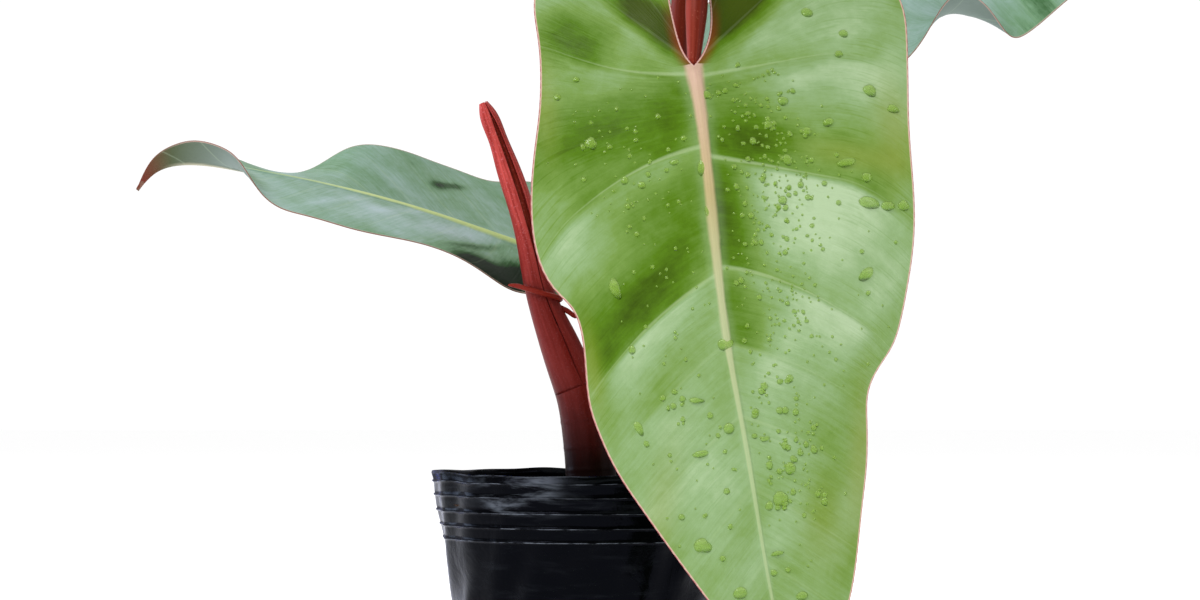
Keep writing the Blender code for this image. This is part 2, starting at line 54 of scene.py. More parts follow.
POT_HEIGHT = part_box("nursery_pot")[1].z
POT_RIM_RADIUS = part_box("nursery_pot")[1].x
POT_BASE_RADIUS = 0.051
POT_WALL = 0.001
POT_FLOOR = 0.0012
WALL_TOP_RADIUS = POT_RIM_RADIUS - 0.0006
RIBS_BELOW_RIM = (0.0040, 0.0110, 0.0185, 0.0254, 0.0318, 0.0900)
RIB_DEPTH = 0.0007
RIB_HALF_HEIGHT = 0.0007
DRAIN_HOLES = 8
DRAIN_RADIUS = 0.004
DRAIN_CIRCLE = 0.036

MIX_CROWN = 0.003
MIX_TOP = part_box("potting_mix")[1].z - MIX_CROWN
MIX_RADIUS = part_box("potting_mix")[1].x

STEM_RADIUS = 0.0122
STEM_BOTTOM = -0.025
STEM_TOP = 0.085
SHEATH_BASE = 0.055
SHEATH_WALL = 0.0011
NEW_LEAF_TOP = 0.187
AERIAL_ROOT_RADIUS = 0.0013
LEAF_THICKNESS = 0.001

# The shoot is the stem and, above it, the sheath: centre points and outer radius as a share of STEM_RADIUS.
SHOOT = [
    ((0.0045, 0.000, -0.030), 0.84), ((0.0035, 0.000, -0.010), 0.98), ((0.0028, 0.000, 0.015), 1.00),
    ((0.0012, 0.000, 0.032), 0.98), ((-0.0022, 0.000, 0.050), 0.94), ((-0.0075, 0.000, 0.064), 0.86),
    ((-0.0130, 0.000, 0.078), 0.77), ((-0.0190, -0.001, 0.093), 0.63), ((-0.0235, -0.002, 0.108), 0.54),
    ((-0.0270, -0.003, 0.126), 0.51), ((-0.0321, -0.004, 0.146), 0.50), ((-0.0378, -0.005, 0.163), 0.46),
    ((-0.0424, -0.006, 0.176), 0.38), ((-0.0474, -0.007, 0.1885), 0.31), ((-0.0490, -0.007, 0.1925), 0.18),
]

FRONT_PETIOLE = [
    (0.000, 0.001, 0.030), (0.014, 0.004, 0.052), (0.028, 0.012, 0.090), (0.0385, 0.019, 0.145),
    (0.0452, 0.021, 0.200), (0.0478, 0.016, 0.245), (0.0496, -0.003, 0.273), (0.0512, -0.033, 0.281),
    (0.0522, -0.064, 0.262), (0.0516, -0.084, 0.230),
]
LEFT_PETIOLE = [
    (-0.003, 0.002, 0.036), (0.006, 0.030, 0.055), (0.010, 0.058, 0.072), (0.010, 0.0735, 0.093),
    (-0.0005, 0.0700, 0.1125),
]
RIGHT_PETIOLE = [
    (0.002, 0.002, 0.014), (0.016, 0.018, 0.040), (0.030, 0.036, 0.082), (0.042, 0.055, 0.150),
    (0.057, 0.070, 0.213), (0.0720, 0.0760, 0.2510),
]

# Aerial roots: (degrees round from +X, height, distance off the shoot's surface).
LEFT_ROOT = [
    (0, 0.0965, -0.0050), (-8, 0.0978, 0.0016), (-42, 0.0990, 0.0018), (-82, 0.1005, 0.0018),
    (-125, 0.1024, 0.0020), (-158, 0.1043, 0.0052), (-166, 0.1046, 0.0080),
]
RIGHT_ROOT = [(0, 0.0955, -0.0050), (-6, 0.0925, 0.0020), (-9, 0.0888, 0.0054)]

# Each leaf has an outline, an inner edge beside the sinus and a section on either side of its midrib.
#   outer, inner: (across, along) in leaf lengths, from the lobe's rear corner to the tip or the sinus's foot
#   section: (along, start angle, curl, lip curl) in degrees above the leaf's face
#   veins: (foot on the midrib, slope, bend, strength of the pale line) of the side veins, in leaf lengths
#   light_and_shade_patches: (panel between two veins or None, across, along, radius across, radius along,
#       turn in degrees, strength) of paler (+) and deeper (-) green, painted sheen where paler and painted
#       shade where deeper; olive rows tint the blade in the same way
#   rib: the midrib's half width in metres at its foot and near the tip
#   quilt: the height of the bulges in metres; painted_panel_shade: the strength of the painted shading across
#       each panel, lighter just past a vein and fading darker towards the next
#   sinus_red_shade: the strength of the painted red-brown shade beside the sinus
FRONT_LEAF = {
    "length": 0.298,
    "midrib": [
        (0.0497, -0.0950, 0.1999), (0.0523, -0.1020, 0.1795), (0.0550, -0.1065, 0.1545),
        (0.0583, -0.1090, 0.1207), (0.0637, -0.1090, 0.0759), (0.0725, -0.1070, 0.0268),
        (0.0796, -0.1045, -0.0156), (0.0890, -0.1030, -0.0640), (0.0960, -0.1012, -0.0935),
    ],
    "face": [
        (0.0, (0.05, -1, 0.25)), (0.35, (0.08, -1, 0.08)), (0.7, (0.10, -1, 0.0)), (1, (0.06, -1, -0.05)),
    ],
    "lobe_lean": -0.36,
    "rib": (0.0031, 0.0007),
    "quilt": 0.0016,
    "painted_panel_shade": 0.36,
    "sinus_red_shade": 0.9,
    "right": {
        "outer": [
            (0.040, -0.262), (0.117, -0.295), (0.228, -0.268), (0.309, -0.195), (0.347, -0.107),
            (0.342, -0.027), (0.332, 0.037), (0.322, 0.121), (0.319, 0.218), (0.315, 0.279),
            (0.307, 0.329), (0.292, 0.391), (0.277, 0.440), (0.257, 0.480), (0.225, 0.515), (0.206, 0.544),
            (0.196, 0.584), (0.183, 0.646), (0.166, 0.701), (0.149, 0.755), (0.121, 0.832), (0.080, 0.906),
            (0.034, 0.968),
        ],
        "inner": [(0.042, -0.185), (0.042, -0.117), (0.034, -0.060), (0.016, -0.020)],
        "section": [(-0.3, -14, 4, 0), (0, -8, 2, 0), (0.35, -3, -10, 0), (0.7, 4, -20, 0), (1, 8, -6, 0)],
        "veins": [
            (-0.020, -4.50, 0.0, 0.0), (-0.012, -2.00, 0.0, 0.04), (-0.005, -0.85, -0.3, 0.06),
            (0.018, -0.15, 0.0, 0.26), (0.145, 0.22, 0.1, 0.36), (0.314, 0.15, 1.9, 0.32),
            (0.43, 0.35, 1.6, 0.10), (0.54, 0.5, 1.3, 0.12), (0.65, 0.7, 1.0, 0.08), (0.76, 0.9, 0.8, 0.08),
            (0.87, 1.1, 0.5, 0.05),
        ],
        "light_and_shade_patches": [
            (None, 0.085, -0.120, 0.065, 0.060, -20, -0.75), (None, 0.050, -0.065, 0.070, 0.022, -55, -0.55),
            (None, 0.110, -0.050, 0.090, 0.011, -48, 0.16), (None, 0.210, -0.060, 0.120, 0.055, -10, 0.26),
            (3, 0.150, 0.012, 0.130, 0.014, -12, -0.24), (3, 0.050, 0.085, 0.070, 0.080, 0, -0.38),
            (3, 0.115, 0.135, 0.085, 0.026, 8, -0.15), (3, 0.250, 0.140, 0.060, 0.040, 14, -0.14),
            (3, 0.200, 0.060, 0.080, 0.035, 0, 0.12), (4, 0.020, 0.250, 0.048, 0.110, 0, -0.56),
            (4, 0.180, 0.250, 0.120, 0.095, 0, 0.30), (5, 0.018, 0.390, 0.042, 0.090, 0, -0.36),
            (None, 0.160, 0.420, 0.100, 0.100, 20, 0.22), (None, 0.110, 0.700, 0.035, 0.090, 12, -0.14),
            (None, 0.050, 0.600, 0.070, 0.160, 0, 0.10), (None, 0.290, 0.030, 0.070, 0.055, 0, 0.24),
            (None, 0.156, 0.018, 0.070, 0.020, -10, 0.12), (4, 0.130, 0.300, 0.060, 0.050, 0, 0.12),
        ],
        "olive": [
            (None, 0.300, 0.120, 0.035, 0.080, 0, 0.45), (None, 0.175, 0.640, 0.022, 0.110, 14, 0.45),
            (None, 0.230, 0.160, 0.080, 0.022, 14, 0.35), (None, 0.085, -0.120, 0.060, 0.060, 0, 0.08),
            (None, 0.100, 0.720, 0.040, 0.070, 12, 0.25),
        ],
    },
    "left": {
        "outer": [
            (0.047, -0.262), (0.114, -0.282), (0.185, -0.248), (0.227, -0.174), (0.230, -0.097),
            (0.233, -0.030), (0.242, 0.035), (0.253, 0.091), (0.265, 0.159), (0.270, 0.228), (0.262, 0.287),
            (0.245, 0.322), (0.222, 0.352), (0.213, 0.393), (0.216, 0.443), (0.218, 0.487), (0.213, 0.523),
            (0.191, 0.604), (0.168, 0.656), (0.139, 0.715), (0.097, 0.797), (0.054, 0.889), (0.021, 0.962),
        ],
        "inner": [(0.025, -0.185), (0.021, -0.117), (0.018, -0.060), (0.010, -0.020)],
        "section": [(-0.3, -16, 4, 0), (0, -12, 6, 0), (0.35, -8, 2, 0), (0.7, 0, -12, 0), (1, 6, -6, 0)],
        "veins": [
            (-0.020, -4.50, 0.0, 0.0), (-0.012, -2.30, 0.0, 0.04), (-0.005, -1.15, -0.3, 0.06),
            (0.012, -0.10, -1.4, 0.26), (0.130, 0.08, 1.6, 0.34), (0.325, 0.45, 1.1, 0.28),
            (0.43, 0.5, 1.1, 0.08), (0.54, 0.6, 1.0, 0.10), (0.65, 0.8, 0.9, 0.06), (0.76, 0.9, 0.8, 0.06),
            (0.87, 1.1, 0.5, 0.05),
        ],
        "light_and_shade_patches": [
            (None, 0.055, -0.100, 0.110, 0.036, -55, -0.72), (None, 0.080, -0.065, 0.080, 0.011, -53, 0.22),
            (None, 0.175, -0.085, 0.060, 0.050, -30, -0.42), (None, 0.200, -0.180, 0.060, 0.050, 0, 0.16),
            (2, 0.140, -0.020, 0.080, 0.012, -18, 0.16), (3, 0.135, 0.080, 0.160, 0.080, 0, -0.36),
            (3, 0.040, 0.070, 0.045, 0.080, 0, -0.14), (4, 0.250, 0.250, 0.060, 0.070, 0, 0.20),
            (4, 0.100, 0.210, 0.090, 0.070, 0, -0.30), (4, 0.115, 0.350, 0.110, 0.052, 36, -0.38),
            (4, 0.185, 0.425, 0.028, 0.060, 16, -0.22), (4, 0.040, 0.250, 0.040, 0.080, 0, -0.14),
            (None, 0.100, 0.540, 0.110, 0.140, 0, 0.12), (None, 0.060, 0.680, 0.070, 0.090, 0, 0.14),
            (5, 0.195, 0.490, 0.020, 0.060, 0, -0.14),
        ],
        "olive": [
            (None, 0.235, 0.020, 0.022, 0.090, 0, 0.35), (None, 0.205, 0.430, 0.014, 0.060, 0, 0.35),
            (None, 0.150, 0.680, 0.026, 0.120, -20, 0.30), (None, 0.055, -0.110, 0.050, 0.060, 0, 0.08),
        ],
    },
}
BASAL_VEINS = [(-0.020, -4.5, 0.0, 0.0), (-0.012, -2.0, 0.0, 0.03), (-0.005, -0.9, 0.0, 0.05)]
SIDE_VEINS = BASAL_VEINS + [(foot, 0.25 + 0.9 * foot, 0.6, 0.10) for foot in np.linspace(0.03, 0.87, 9)]
LEFT_LEAF = {
    "length": 0.220,
    "midrib": [
        (-0.0163, 0.0500, 0.1212), (-0.0351, 0.0420, 0.1273), (-0.0765, 0.0240, 0.1407),
        (-0.1149, 0.0110, 0.1511), (-0.1434, 0.0030, 0.1573), (-0.1669, -0.0030, 0.1612),
        (-0.1903, -0.0085, 0.1638), (-0.2078, -0.0140, 0.1594), (-0.2157, -0.0180, 0.1499),
    ],
    "face": [
        (0.0, (-0.25, -0.55, 1)), (0.4, (-0.1, -0.55, 1)), (0.75, (0.2, -0.5, 1)), (1, (-0.6, -0.3, 0.6)),
    ],
    "lobe_lean": 0.0,
    "rib": (0.0030, 0.0008),
    "quilt": 0.0005,
    "painted_panel_shade": 0.05,
    "sinus_red_shade": 0.2,
    "right": {
        "outer": [
            (0.036, -0.070), (0.080, -0.076), (0.116, -0.030), (0.146, 0.045), (0.190, 0.115),
            (0.226, 0.190), (0.243, 0.280), (0.241, 0.360), (0.239, 0.450), (0.230, 0.514), (0.210, 0.581),
            (0.190, 0.644), (0.167, 0.698), (0.140, 0.748), (0.096, 0.802), (0.079, 0.860), (0.059, 0.896),
            (0.038, 0.928), (0.018, 0.957),
        ],
        "inner": [(0.024, -0.045), (0.012, -0.015)],
        "section": [
            (-0.3, -30, -6, 0), (0, -22, -8, 0), (0.15, -8, -8, 0), (0.3, 6, -8, 0), (0.5, 5, -4, 0),
            (0.63, 1, 0, 0), (0.72, 6, 6, 0), (0.79, 35, 12, 0), (0.87, 52, 12, 0), (1, 64, 10, 0),
        ],
        "veins": SIDE_VEINS,
        "light_and_shade_patches": [
            (None, 0.17, 0.120, 0.13, 0.046, 50, -1.5), (None, 0.225, 0.235, 0.07, 0.040, 52, -1.3),
            (None, 0.12, 0.225, 0.13, 0.012, 48, -0.35), (None, 0.07, 0.250, 0.16, 0.040, 56, 0.26),
            (None, 0.06, 0.40, 0.14, 0.020, 52, 0.18),
            (None, 0.10, 0.56, 0.10, 0.014, 50, 0.16),
            (None, 0.10, 0.45, 0.08, 0.14, 0, 0.16), (None, 0.05, 0.66, 0.12, 0.05, 0, 0.14),
        ],
        "olive": [(None, 0.10, 0.76, 0.06, 0.03, 0, 0.3)],
    },
    "left": {
        "outer": [
            (0.054, -0.135), (0.162, -0.171), (0.270, -0.126), (0.324, 0.000), (0.286, 0.077),
            (0.266, 0.130), (0.266, 0.190), (0.260, 0.248), (0.247, 0.315), (0.232, 0.396), (0.226, 0.455),
            (0.220, 0.495), (0.204, 0.536), (0.180, 0.581), (0.162, 0.631), (0.144, 0.689), (0.122, 0.748),
            (0.086, 0.820), (0.050, 0.887), (0.023, 0.946),
        ],
        "inner": [(0.036, -0.100), (0.027, -0.045)],
        "section": [
            (-0.3, 8, 6, 0), (0, 8, 6, 0), (0.3, 8, 4, 0), (0.42, 9, 2, 0), (0.50, 2, 0, 0),
            (0.56, -10, -4, 0), (0.66, -18, -6, 0), (0.76, -12, 0, 0), (0.86, 0, 0, 0), (1, 8, 0, 0),
        ],
        "veins": SIDE_VEINS,
        "light_and_shade_patches": [
            (None, 0.170, 0.235, 0.050, 0.012, -62, -0.42), (None, 0.145, 0.275, 0.018, 0.022, 20, -0.35),
            (None, 0.09, 0.65, 0.10, 0.05, 0, 0.20),
        ],
        "olive": [],
    },
}
RIGHT_LEAF = {
    "length": 0.222,
    "midrib": [
        (0.0807, 0.0700, 0.2620), (0.1243, 0.0830, 0.2800), (0.1698, 0.0950, 0.2895),
        (0.2123, 0.1050, 0.2905), (0.2548, 0.1130, 0.2864), (0.2912, 0.1190, 0.2743),
    ],
    "face": [(0.0, (0.1, -0.8, 0.6)), (0.5, (0.1, -0.8, 0.6)), (1, (0.3, -0.7, 0.6))],
    "lobe_lean": 0.0,
    "rib": (0.0022, 0.0006),
    "quilt": 0.0007,
    "painted_panel_shade": 0.10,
    "sinus_red_shade": 0.2,
    "right": {
        "outer": [
            (0.030, -0.210), (0.163, -0.249), (0.272, -0.181), (0.317, -0.023), (0.326, 0.136),
            (0.317, 0.294), (0.290, 0.453), (0.240, 0.611), (0.163, 0.770), (0.072, 0.906),
        ],
        "inner": [(0.012, -0.140), (0.010, -0.054)],
        "section": [(-0.3, -10, 0, 0), (0, -10, 0, 0), (0.5, -10, -10, 0), (1, 0, 0, 0)],
        "veins": SIDE_VEINS,
        "light_and_shade_patches": [(None, 0.16, 0.30, 0.24, 0.34, 0, 0.18)],
        "olive": [],
    },
    "left": {
        "outer": [
            (0.034, -0.245), (0.172, -0.281), (0.281, -0.204), (0.322, -0.036), (0.331, 0.136),
            (0.333, 0.294), (0.325, 0.453), (0.290, 0.611), (0.200, 0.770), (0.082, 0.906),
        ],
        "inner": [(0.012, -0.140), (0.010, -0.054)],
        "section": [
            (-0.3, -30, 0, 0), (0, -24, 0, 0), (0.30, -12, 0, 25), (0.50, -15, 0, 165), (0.68, -20, 0, 15),
            (0.84, -8, 0, 0), (1, 0, 0, 0),
        ],
        "veins": SIDE_VEINS,
        "light_and_shade_patches": [
            (None, 0.16, 0.20, 0.24, 0.34, 0, 0.18), (None, 0.18, 0.57, 0.12, 0.06, 0, 0.22),
            (None, 0.19, 0.73, 0.14, 0.06, 0, -0.18),
        ],
        "olive": [],
    },
}


# ---------------------------------------------------------------- curves


def unit(vectors):
    return vectors / np.maximum(np.linalg.norm(vectors, axis=-1, keepdims=True), 1e-12)


def smooth_step(value, low, high):
    """0 below low, 1 above high, and 3t^2 - 2t^3 between them."""
    t = np.clip((np.asarray(value, float) - low) / (high - low), 0, 1)
    return t * t * (3 - 2 * t)


def spline(knots, values, where):
    """Natural cubic spline through values at the knots, read at where."""
    x = np.asarray(knots, float)
    y = np.asarray(values, float).reshape(len(x), -1)
    step = np.diff(x)
    matrix = np.eye(len(x))
    right_side = np.zeros_like(y)
    for i in range(1, len(x) - 1):
        matrix[i, i - 1 : i + 2] = step[i - 1], 2 * (step[i - 1] + step[i]), step[i]
        right_side[i] = 6 * ((y[i + 1] - y[i]) / step[i] - (y[i] - y[i - 1]) / step[i - 1])
    bend = np.linalg.solve(matrix, right_side)
    s = np.clip(np.asarray(where, float).ravel(), x[0], x[-1])
    i = np.clip(np.searchsorted(x, s, side="right") - 1, 0, len(x) - 2)
    h = step[i][:, None]
    t = (s - x[i])[:, None]
    u = h - t
    result = (bend[i] * u**3 + bend[i + 1] * t**3) / (6 * h)
    result += (y[i] / h - bend[i] * h / 6) * u + (y[i + 1] / h - bend[i + 1] * h / 6) * t
    return result.reshape(np.shape(where) + (y.shape[1:] if y.shape[1] > 1 else ()))


def chord_shares(points):
    """Each point's share of the length of the straight lines through the points, and that length."""
    steps = np.linalg.norm(np.diff(np.asarray(points, float), axis=0), axis=1)
    run = np.concatenate([[0.0], np.cumsum(steps)])
    return run / run[-1], run[-1]


def even_points(points, count, dense=800):
    """count points evenly spaced along the smooth curve through points, and the curve's length."""
    curve = spline(chord_shares(points)[0], points, np.linspace(0, 1, dense))
    shares, length = chord_shares(curve)
    where = np.linspace(0, 1, count)
    return np.stack([np.interp(where, shares, column) for column in curve.T], 1), length


def in_world(points):
    """Plant points (x, y, height above the mix) in world coordinates."""
    return np.asarray(points, float) + (0.0, 0.0, MIX_TOP)


def waves(u, v, seed, count=7, lowest=1.0, highest=4.0):
    """Sum of sine waves with whole-number turns in u and free ones in v, between about -1 and 1."""
    pick = np.random.default_rng(seed)
    total = 0.0
    for _ in range(count):
        turns_u = round(pick.uniform(lowest, highest))
        turns_v = pick.uniform(lowest, highest)
        total = total + np.sin(math.tau * (turns_u * u + turns_v * v + pick.random()))
    return total / math.sqrt(count)


# ---------------------------------------------------------------- meshes


def grid_faces(rows, columns, start=0):
    """Quads of a rows x columns grid of points whose numbers run along each row."""
    a = start + np.arange(rows - 1)[:, None] * columns + np.arange(columns - 1)[None]
    return np.stack([a, a + columns, a + columns + 1, a + 1], -1).reshape(-1, 4)


def make_piece(name, points, faces, looks, nodes=(), uv=None, attributes=None, look_index=None):
    """A finished piece: points and quads welded where they meet, with its looks, body and replaced nodes."""
    mesh = bpy.data.meshes.new(name)
    mesh.from_pydata(np.asarray(points, float).tolist(), [], np.asarray(faces).tolist())
    corners = np.empty(len(mesh.loops), np.int32)
    mesh.loops.foreach_get("vertex_index", corners)
    if uv is not None:
        mesh.uv_layers.new(name="UVMap").data.foreach_set("uv", uv[corners].astype(np.float32).ravel())
    for key, values in (attributes or {}).items():
        kind, field = ("FLOAT_VECTOR", "vector") if values.ndim == 2 else ("FLOAT", "value")
        layer = mesh.attributes.new(key, kind, "POINT")
        layer.data.foreach_set(field, values.astype(np.float32).ravel())
    if look_index is not None:
        mesh.polygons.foreach_set("material_index", look_index.astype(np.int32))
    work = bmesh.new()
    work.from_mesh(mesh)
    bmesh.ops.remove_doubles(work, verts=work.verts, dist=1e-7)
    bmesh.ops.recalc_face_normals(work, faces=work.faces)
    work.to_mesh(mesh)
    work.free()
    mesh.shade_smooth()
    for look in looks:
        mesh.materials.append(look)
    piece = bpy.data.objects.new(name, mesh)
    bpy.context.scene.collection.objects.link(piece)
    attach(piece, "root")
    if nodes:
        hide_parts(*nodes)
    return piece


def tube_points(path, radii, around, reference, shape=None):
    """Rings round a path: path + radius * (cos a * side + sin a * up), closed to a point at both ends.

    side lies across the path and the reference direction, up completes the frame, and shape(a, share) scales
    the radius. Returns the points, their (share round, length along), and the numbers of rows and columns.
    """
    tangent = unit(np.gradient(path, axis=0))
    up = unit(reference - (tangent @ reference)[:, None] * tangent)
    side = np.cross(tangent, up)
    share, length = chord_shares(path)
    angle = np.linspace(0, math.tau, around + 1)
    scale = shape(angle[None], share[:, None]) if shape else np.ones((len(path), around + 1))
    reach = radii[:, None] * scale
    ring = np.cos(angle)[None, :, None] * side[:, None] + np.sin(angle)[None, :, None] * up[:, None]
    points = path[:, None] + reach[..., None] * ring
    start, end = (np.repeat(centre[:, None], around + 1, 1) for centre in (path[:1], path[-1:]))
    points = np.concatenate([start, points, end])
    run = np.concatenate([[0.0], share * length, [length]])
    u, v = np.meshgrid(angle / math.tau, run)
    return points.reshape(-1, 3), np.stack([u, v], -1).reshape(-1, 2), len(run), around + 1


def tube(name, path, radii, around, reference, look, nodes=(), shape=None, attributes=None):
    points, uv, rows, columns = tube_points(path, radii, around, np.asarray(reference, float), shape)
    made = attributes(uv) if attributes else None
    return make_piece(name, points, grid_faces(rows, columns), [look], nodes, uv, made)


# ---------------------------------------------------------------- looks


def srgb(red, green, blue):
    """A colour given in 0..255 screen values, in linear light."""
    shares = [channel / 255 for channel in (red, green, blue)]
    linear = [share / 12.92 if share <= 0.04045 else ((share + 0.055) / 1.055) ** 2.4 for share in shares]
    return (*linear, 1.0)


class Look:
    """A Principled material being wired. Each method adds a node and returns its output."""

    def __init__(self, name, **sockets):
        self.material = bpy.data.materials.new(name)
        self.material.use_nodes = True
        self.tree = self.material.node_tree
        self.shader = self.tree.nodes["Principled BSDF"]
        for key, value in sockets.items():
            self.shader.inputs[key.replace("_", " ")].default_value = value

    def put(self, socket, value):
        if isinstance(value, bpy.types.NodeSocket):
            self.tree.links.new(value, socket)
        else:
            socket.default_value = value

    def node(self, kind, inputs=(), **settings):
        made = self.tree.nodes.new("ShaderNode" + kind)
        for key, value in settings.items():
            setattr(made, key, value)
        for key, value in dict(inputs).items():
            self.put(made.inputs[key], value)
        return made

    def coordinates(self, kind="Object"):
        return self.node("TexCoord").outputs[kind]

    def attribute(self, name, output="Fac"):
        return self.node("Attribute", attribute_name=name).outputs[output]

    def axes(self, vector):
        return self.node("SeparateXYZ", {"Vector": vector}).outputs

    def vector(self, x=0.0, y=0.0, z=0.0):
        return self.node("CombineXYZ", {"X": x, "Y": y, "Z": z}).outputs[0]

    def noise(self, vector, scale, detail=4.0, roughness=0.5, distortion=0.0):
        inputs = {"Vector": vector, "Scale": scale, "Detail": detail, "Roughness": roughness}
        return self.node("TexNoise", {**inputs, "Distortion": distortion}).outputs["Fac"]

    def math(self, operation, a, b=0.0):
        return self.node("Math", {0: a, 1: b}, operation=operation).outputs[0]

    def plus(self, a, b):
        return self.math("ADD", a, b)

    def minus(self, a, b):
        return self.math("SUBTRACT", a, b)

    def times(self, a, b):
        return self.math("MULTIPLY", a, b)

    def over(self, a, b):
        return self.math("DIVIDE", a, b)

    def sway(self, value, reach):
        """A 0..1 value turned into one that swings by reach about 0."""
        return self.times(self.minus(value, 0.5), reach)

    def smooth(self, value, low, high, out_low=0.0, out_high=1.0):
        inputs = {"Value": value, "From Min": low, "From Max": high, "To Min": out_low, "To Max": out_high}
        return self.node("MapRange", inputs, interpolation_type="SMOOTHSTEP").outputs["Result"]

    def mix(self, share, a, b, blend="MIX"):
        made = self.node("Mix", data_type="RGBA", blend_type=blend)
        for index, value in ((0, share), (6, a), (7, b)):
            self.put(made.inputs[index], value)
        return made.outputs[2]

    def ramp(self, value, stops):
        made = self.node("ValToRGB", {"Fac": value})
        ramp = made.color_ramp
        while len(ramp.elements) < len(stops):
            ramp.elements.new(0.5)
        for element, (position, colour) in zip(ramp.elements, stops):
            element.position = position
            element.color = colour
        return made.outputs["Color"]

    def bump(self, height, strength, distance=0.001):
        inputs = {"Height": height, "Strength": strength, "Distance": distance}
        if self.shader.inputs["Normal"].is_linked:
            inputs["Normal"] = self.shader.inputs["Normal"].links[0].from_socket
        self.set("Normal", self.node("Bump", inputs).outputs["Normal"])

    def set(self, socket, value):
        self.put(self.shader.inputs[socket], value)


def vein_offset(look, phase):
    """Distance in millimetres from the nearest side vein, which is where phase is whole, and its strength."""
    gap, strength, _ = look.axes(look.attribute("side_veins", "Vector"))
    offset = look.math("ABSOLUTE", look.minus(look.math("FRACT", look.plus(phase, 0.5)), 0.5))
    return look.times(offset, gap), strength


def leaf_top_look(name, greens, rib, rib_width, margin, tip, gloss, mottle_and_sheen_streaks):
    """Upper side of a blade: paler and deeper green by its tint, which holds painted sheen and shade, painted
    red-brown shade by the sinus, fine veins, a rib and a thin pink margin.
    """
    roughness, level = gloss
    look = Look(name, Specular_IOR_Level=level)
    # The tint holds the painted light and shade with the tone, the olive tint, and the painted shade by the
    # sinus.
    painted_light_and_tone, olive, sinus_shade = (look.axes(look.attribute("tint", "Vector"))[i] for i in range(3))
    across, along, edge = (look.axes(look.attribute("blade", "Vector"))[i] for i in range(3))
    place = look.axes(look.coordinates("UV"))
    phase = place[1]
    fine = look.noise(look.vector(look.times(place[0], 5.0), look.times(phase, 14.0)), 1.0, 6.0, 0.62)
    broad = look.noise(look.coordinates(), 26.0, 5.0, 0.6, 0.6)
    hair = look.noise(look.vector(look.times(place[0], 3.0), look.times(phase, 42.0)), 1.0, 3.0)
    grain = look.noise(look.coordinates(), 150.0, 4.0, 0.65, 0.5)
    # The fine and grain noises add mottling and, stronger on the back leaves, painted streaks of sheen.
    value = look.plus(painted_light_and_tone, look.sway(fine, mottle_and_sheen_streaks))
    value = look.plus(value, look.sway(grain, mottle_and_sheen_streaks * 0.8))
    value = look.plus(value, look.sway(broad, 0.32))
    value = look.plus(value, look.sway(hair, 0.14))
    arcs = look.times(look.smooth(hair, 0.54, 0.64), look.smooth(across, 30.0, 70.0, 0.01, 0.10))
    value = look.minus(value, arcs)
    # The greens run from painted shade at the deep end to painted sheen at the pale end.
    steps = [i / (len(greens) - 1) for i in range(len(greens))]
    colour = look.ramp(value, list(zip(steps, greens)))
    colour = look.mix(olive, colour, srgb(128, 138, 48))
    # Painted red-brown shade beside the sinus.
    colour = look.mix(sinus_shade, colour, srgb(112, 46, 18))
    offset, strength = vein_offset(look, phase)
    offset = look.over(offset, look.smooth(across, 0.0, 50.0, 1.9, 0.7))
    line = look.times(look.smooth(offset, 0.85, 0.15), look.smooth(across, 85.0, 12.0, 0.15, 0.8))
    colour = look.mix(look.times(line, strength), colour, srgb(196, 212, 172))
    half = look.smooth(along, -0.25, 0.85, rib_width[0] * 1100, rib_width[1] * 1000)
    half = look.times(half, look.smooth(broad, 0.2, 0.8, 0.75, 1.2))
    half = look.times(half, look.smooth(along, 0.07, 0.0, 1.0, 1.3))
    on_rib = look.smooth(look.over(across, half), 1.35, 0.55)
    on_rib = look.times(on_rib, look.smooth(along, 0.30, 0.80, 1.0, 0.6))
    beside = look.smooth(look.over(across, half), 3.2, 1.0, 0.0, 0.14)
    on_blade = look.math("GREATER_THAN", along, -0.004)
    colour = look.mix(look.times(beside, on_blade), colour, greens[-1])
    rib_colour = look.ramp(look.plus(along, look.sway(broad, 0.1)), rib)
    streak = look.noise(look.vector(look.times(across, 1.6), look.times(along, 9.0)), 1.0, 3.0)
    rib_colour = look.mix(look.times(streak, 0.35), rib_colour, srgb(214, 205, 150))
    colour = look.mix(look.times(on_rib, on_blade), colour, rib_colour)
    colour = look.mix(look.smooth(edge, 0.80, 0.45, 0.0, 0.85), colour, margin[0])
    colour = look.mix(look.smooth(edge, 0.28, 0.10), colour, margin[1])
    colour = look.mix(look.smooth(along, 0.90, 0.985, 0.0, 0.85), colour, tip)
    look.set("Base Color", colour)
    look.set("Roughness", look.smooth(broad, 0.3, 0.7, roughness - 0.05, roughness + 0.10))
    look.bump(look.noise(look.coordinates(), 900.0, 3.0), 0.10, 0.0004)
    look.bump(hair, 0.20, 0.0008)
    look.bump(fine, 0.30, 0.0010)
    return look.material


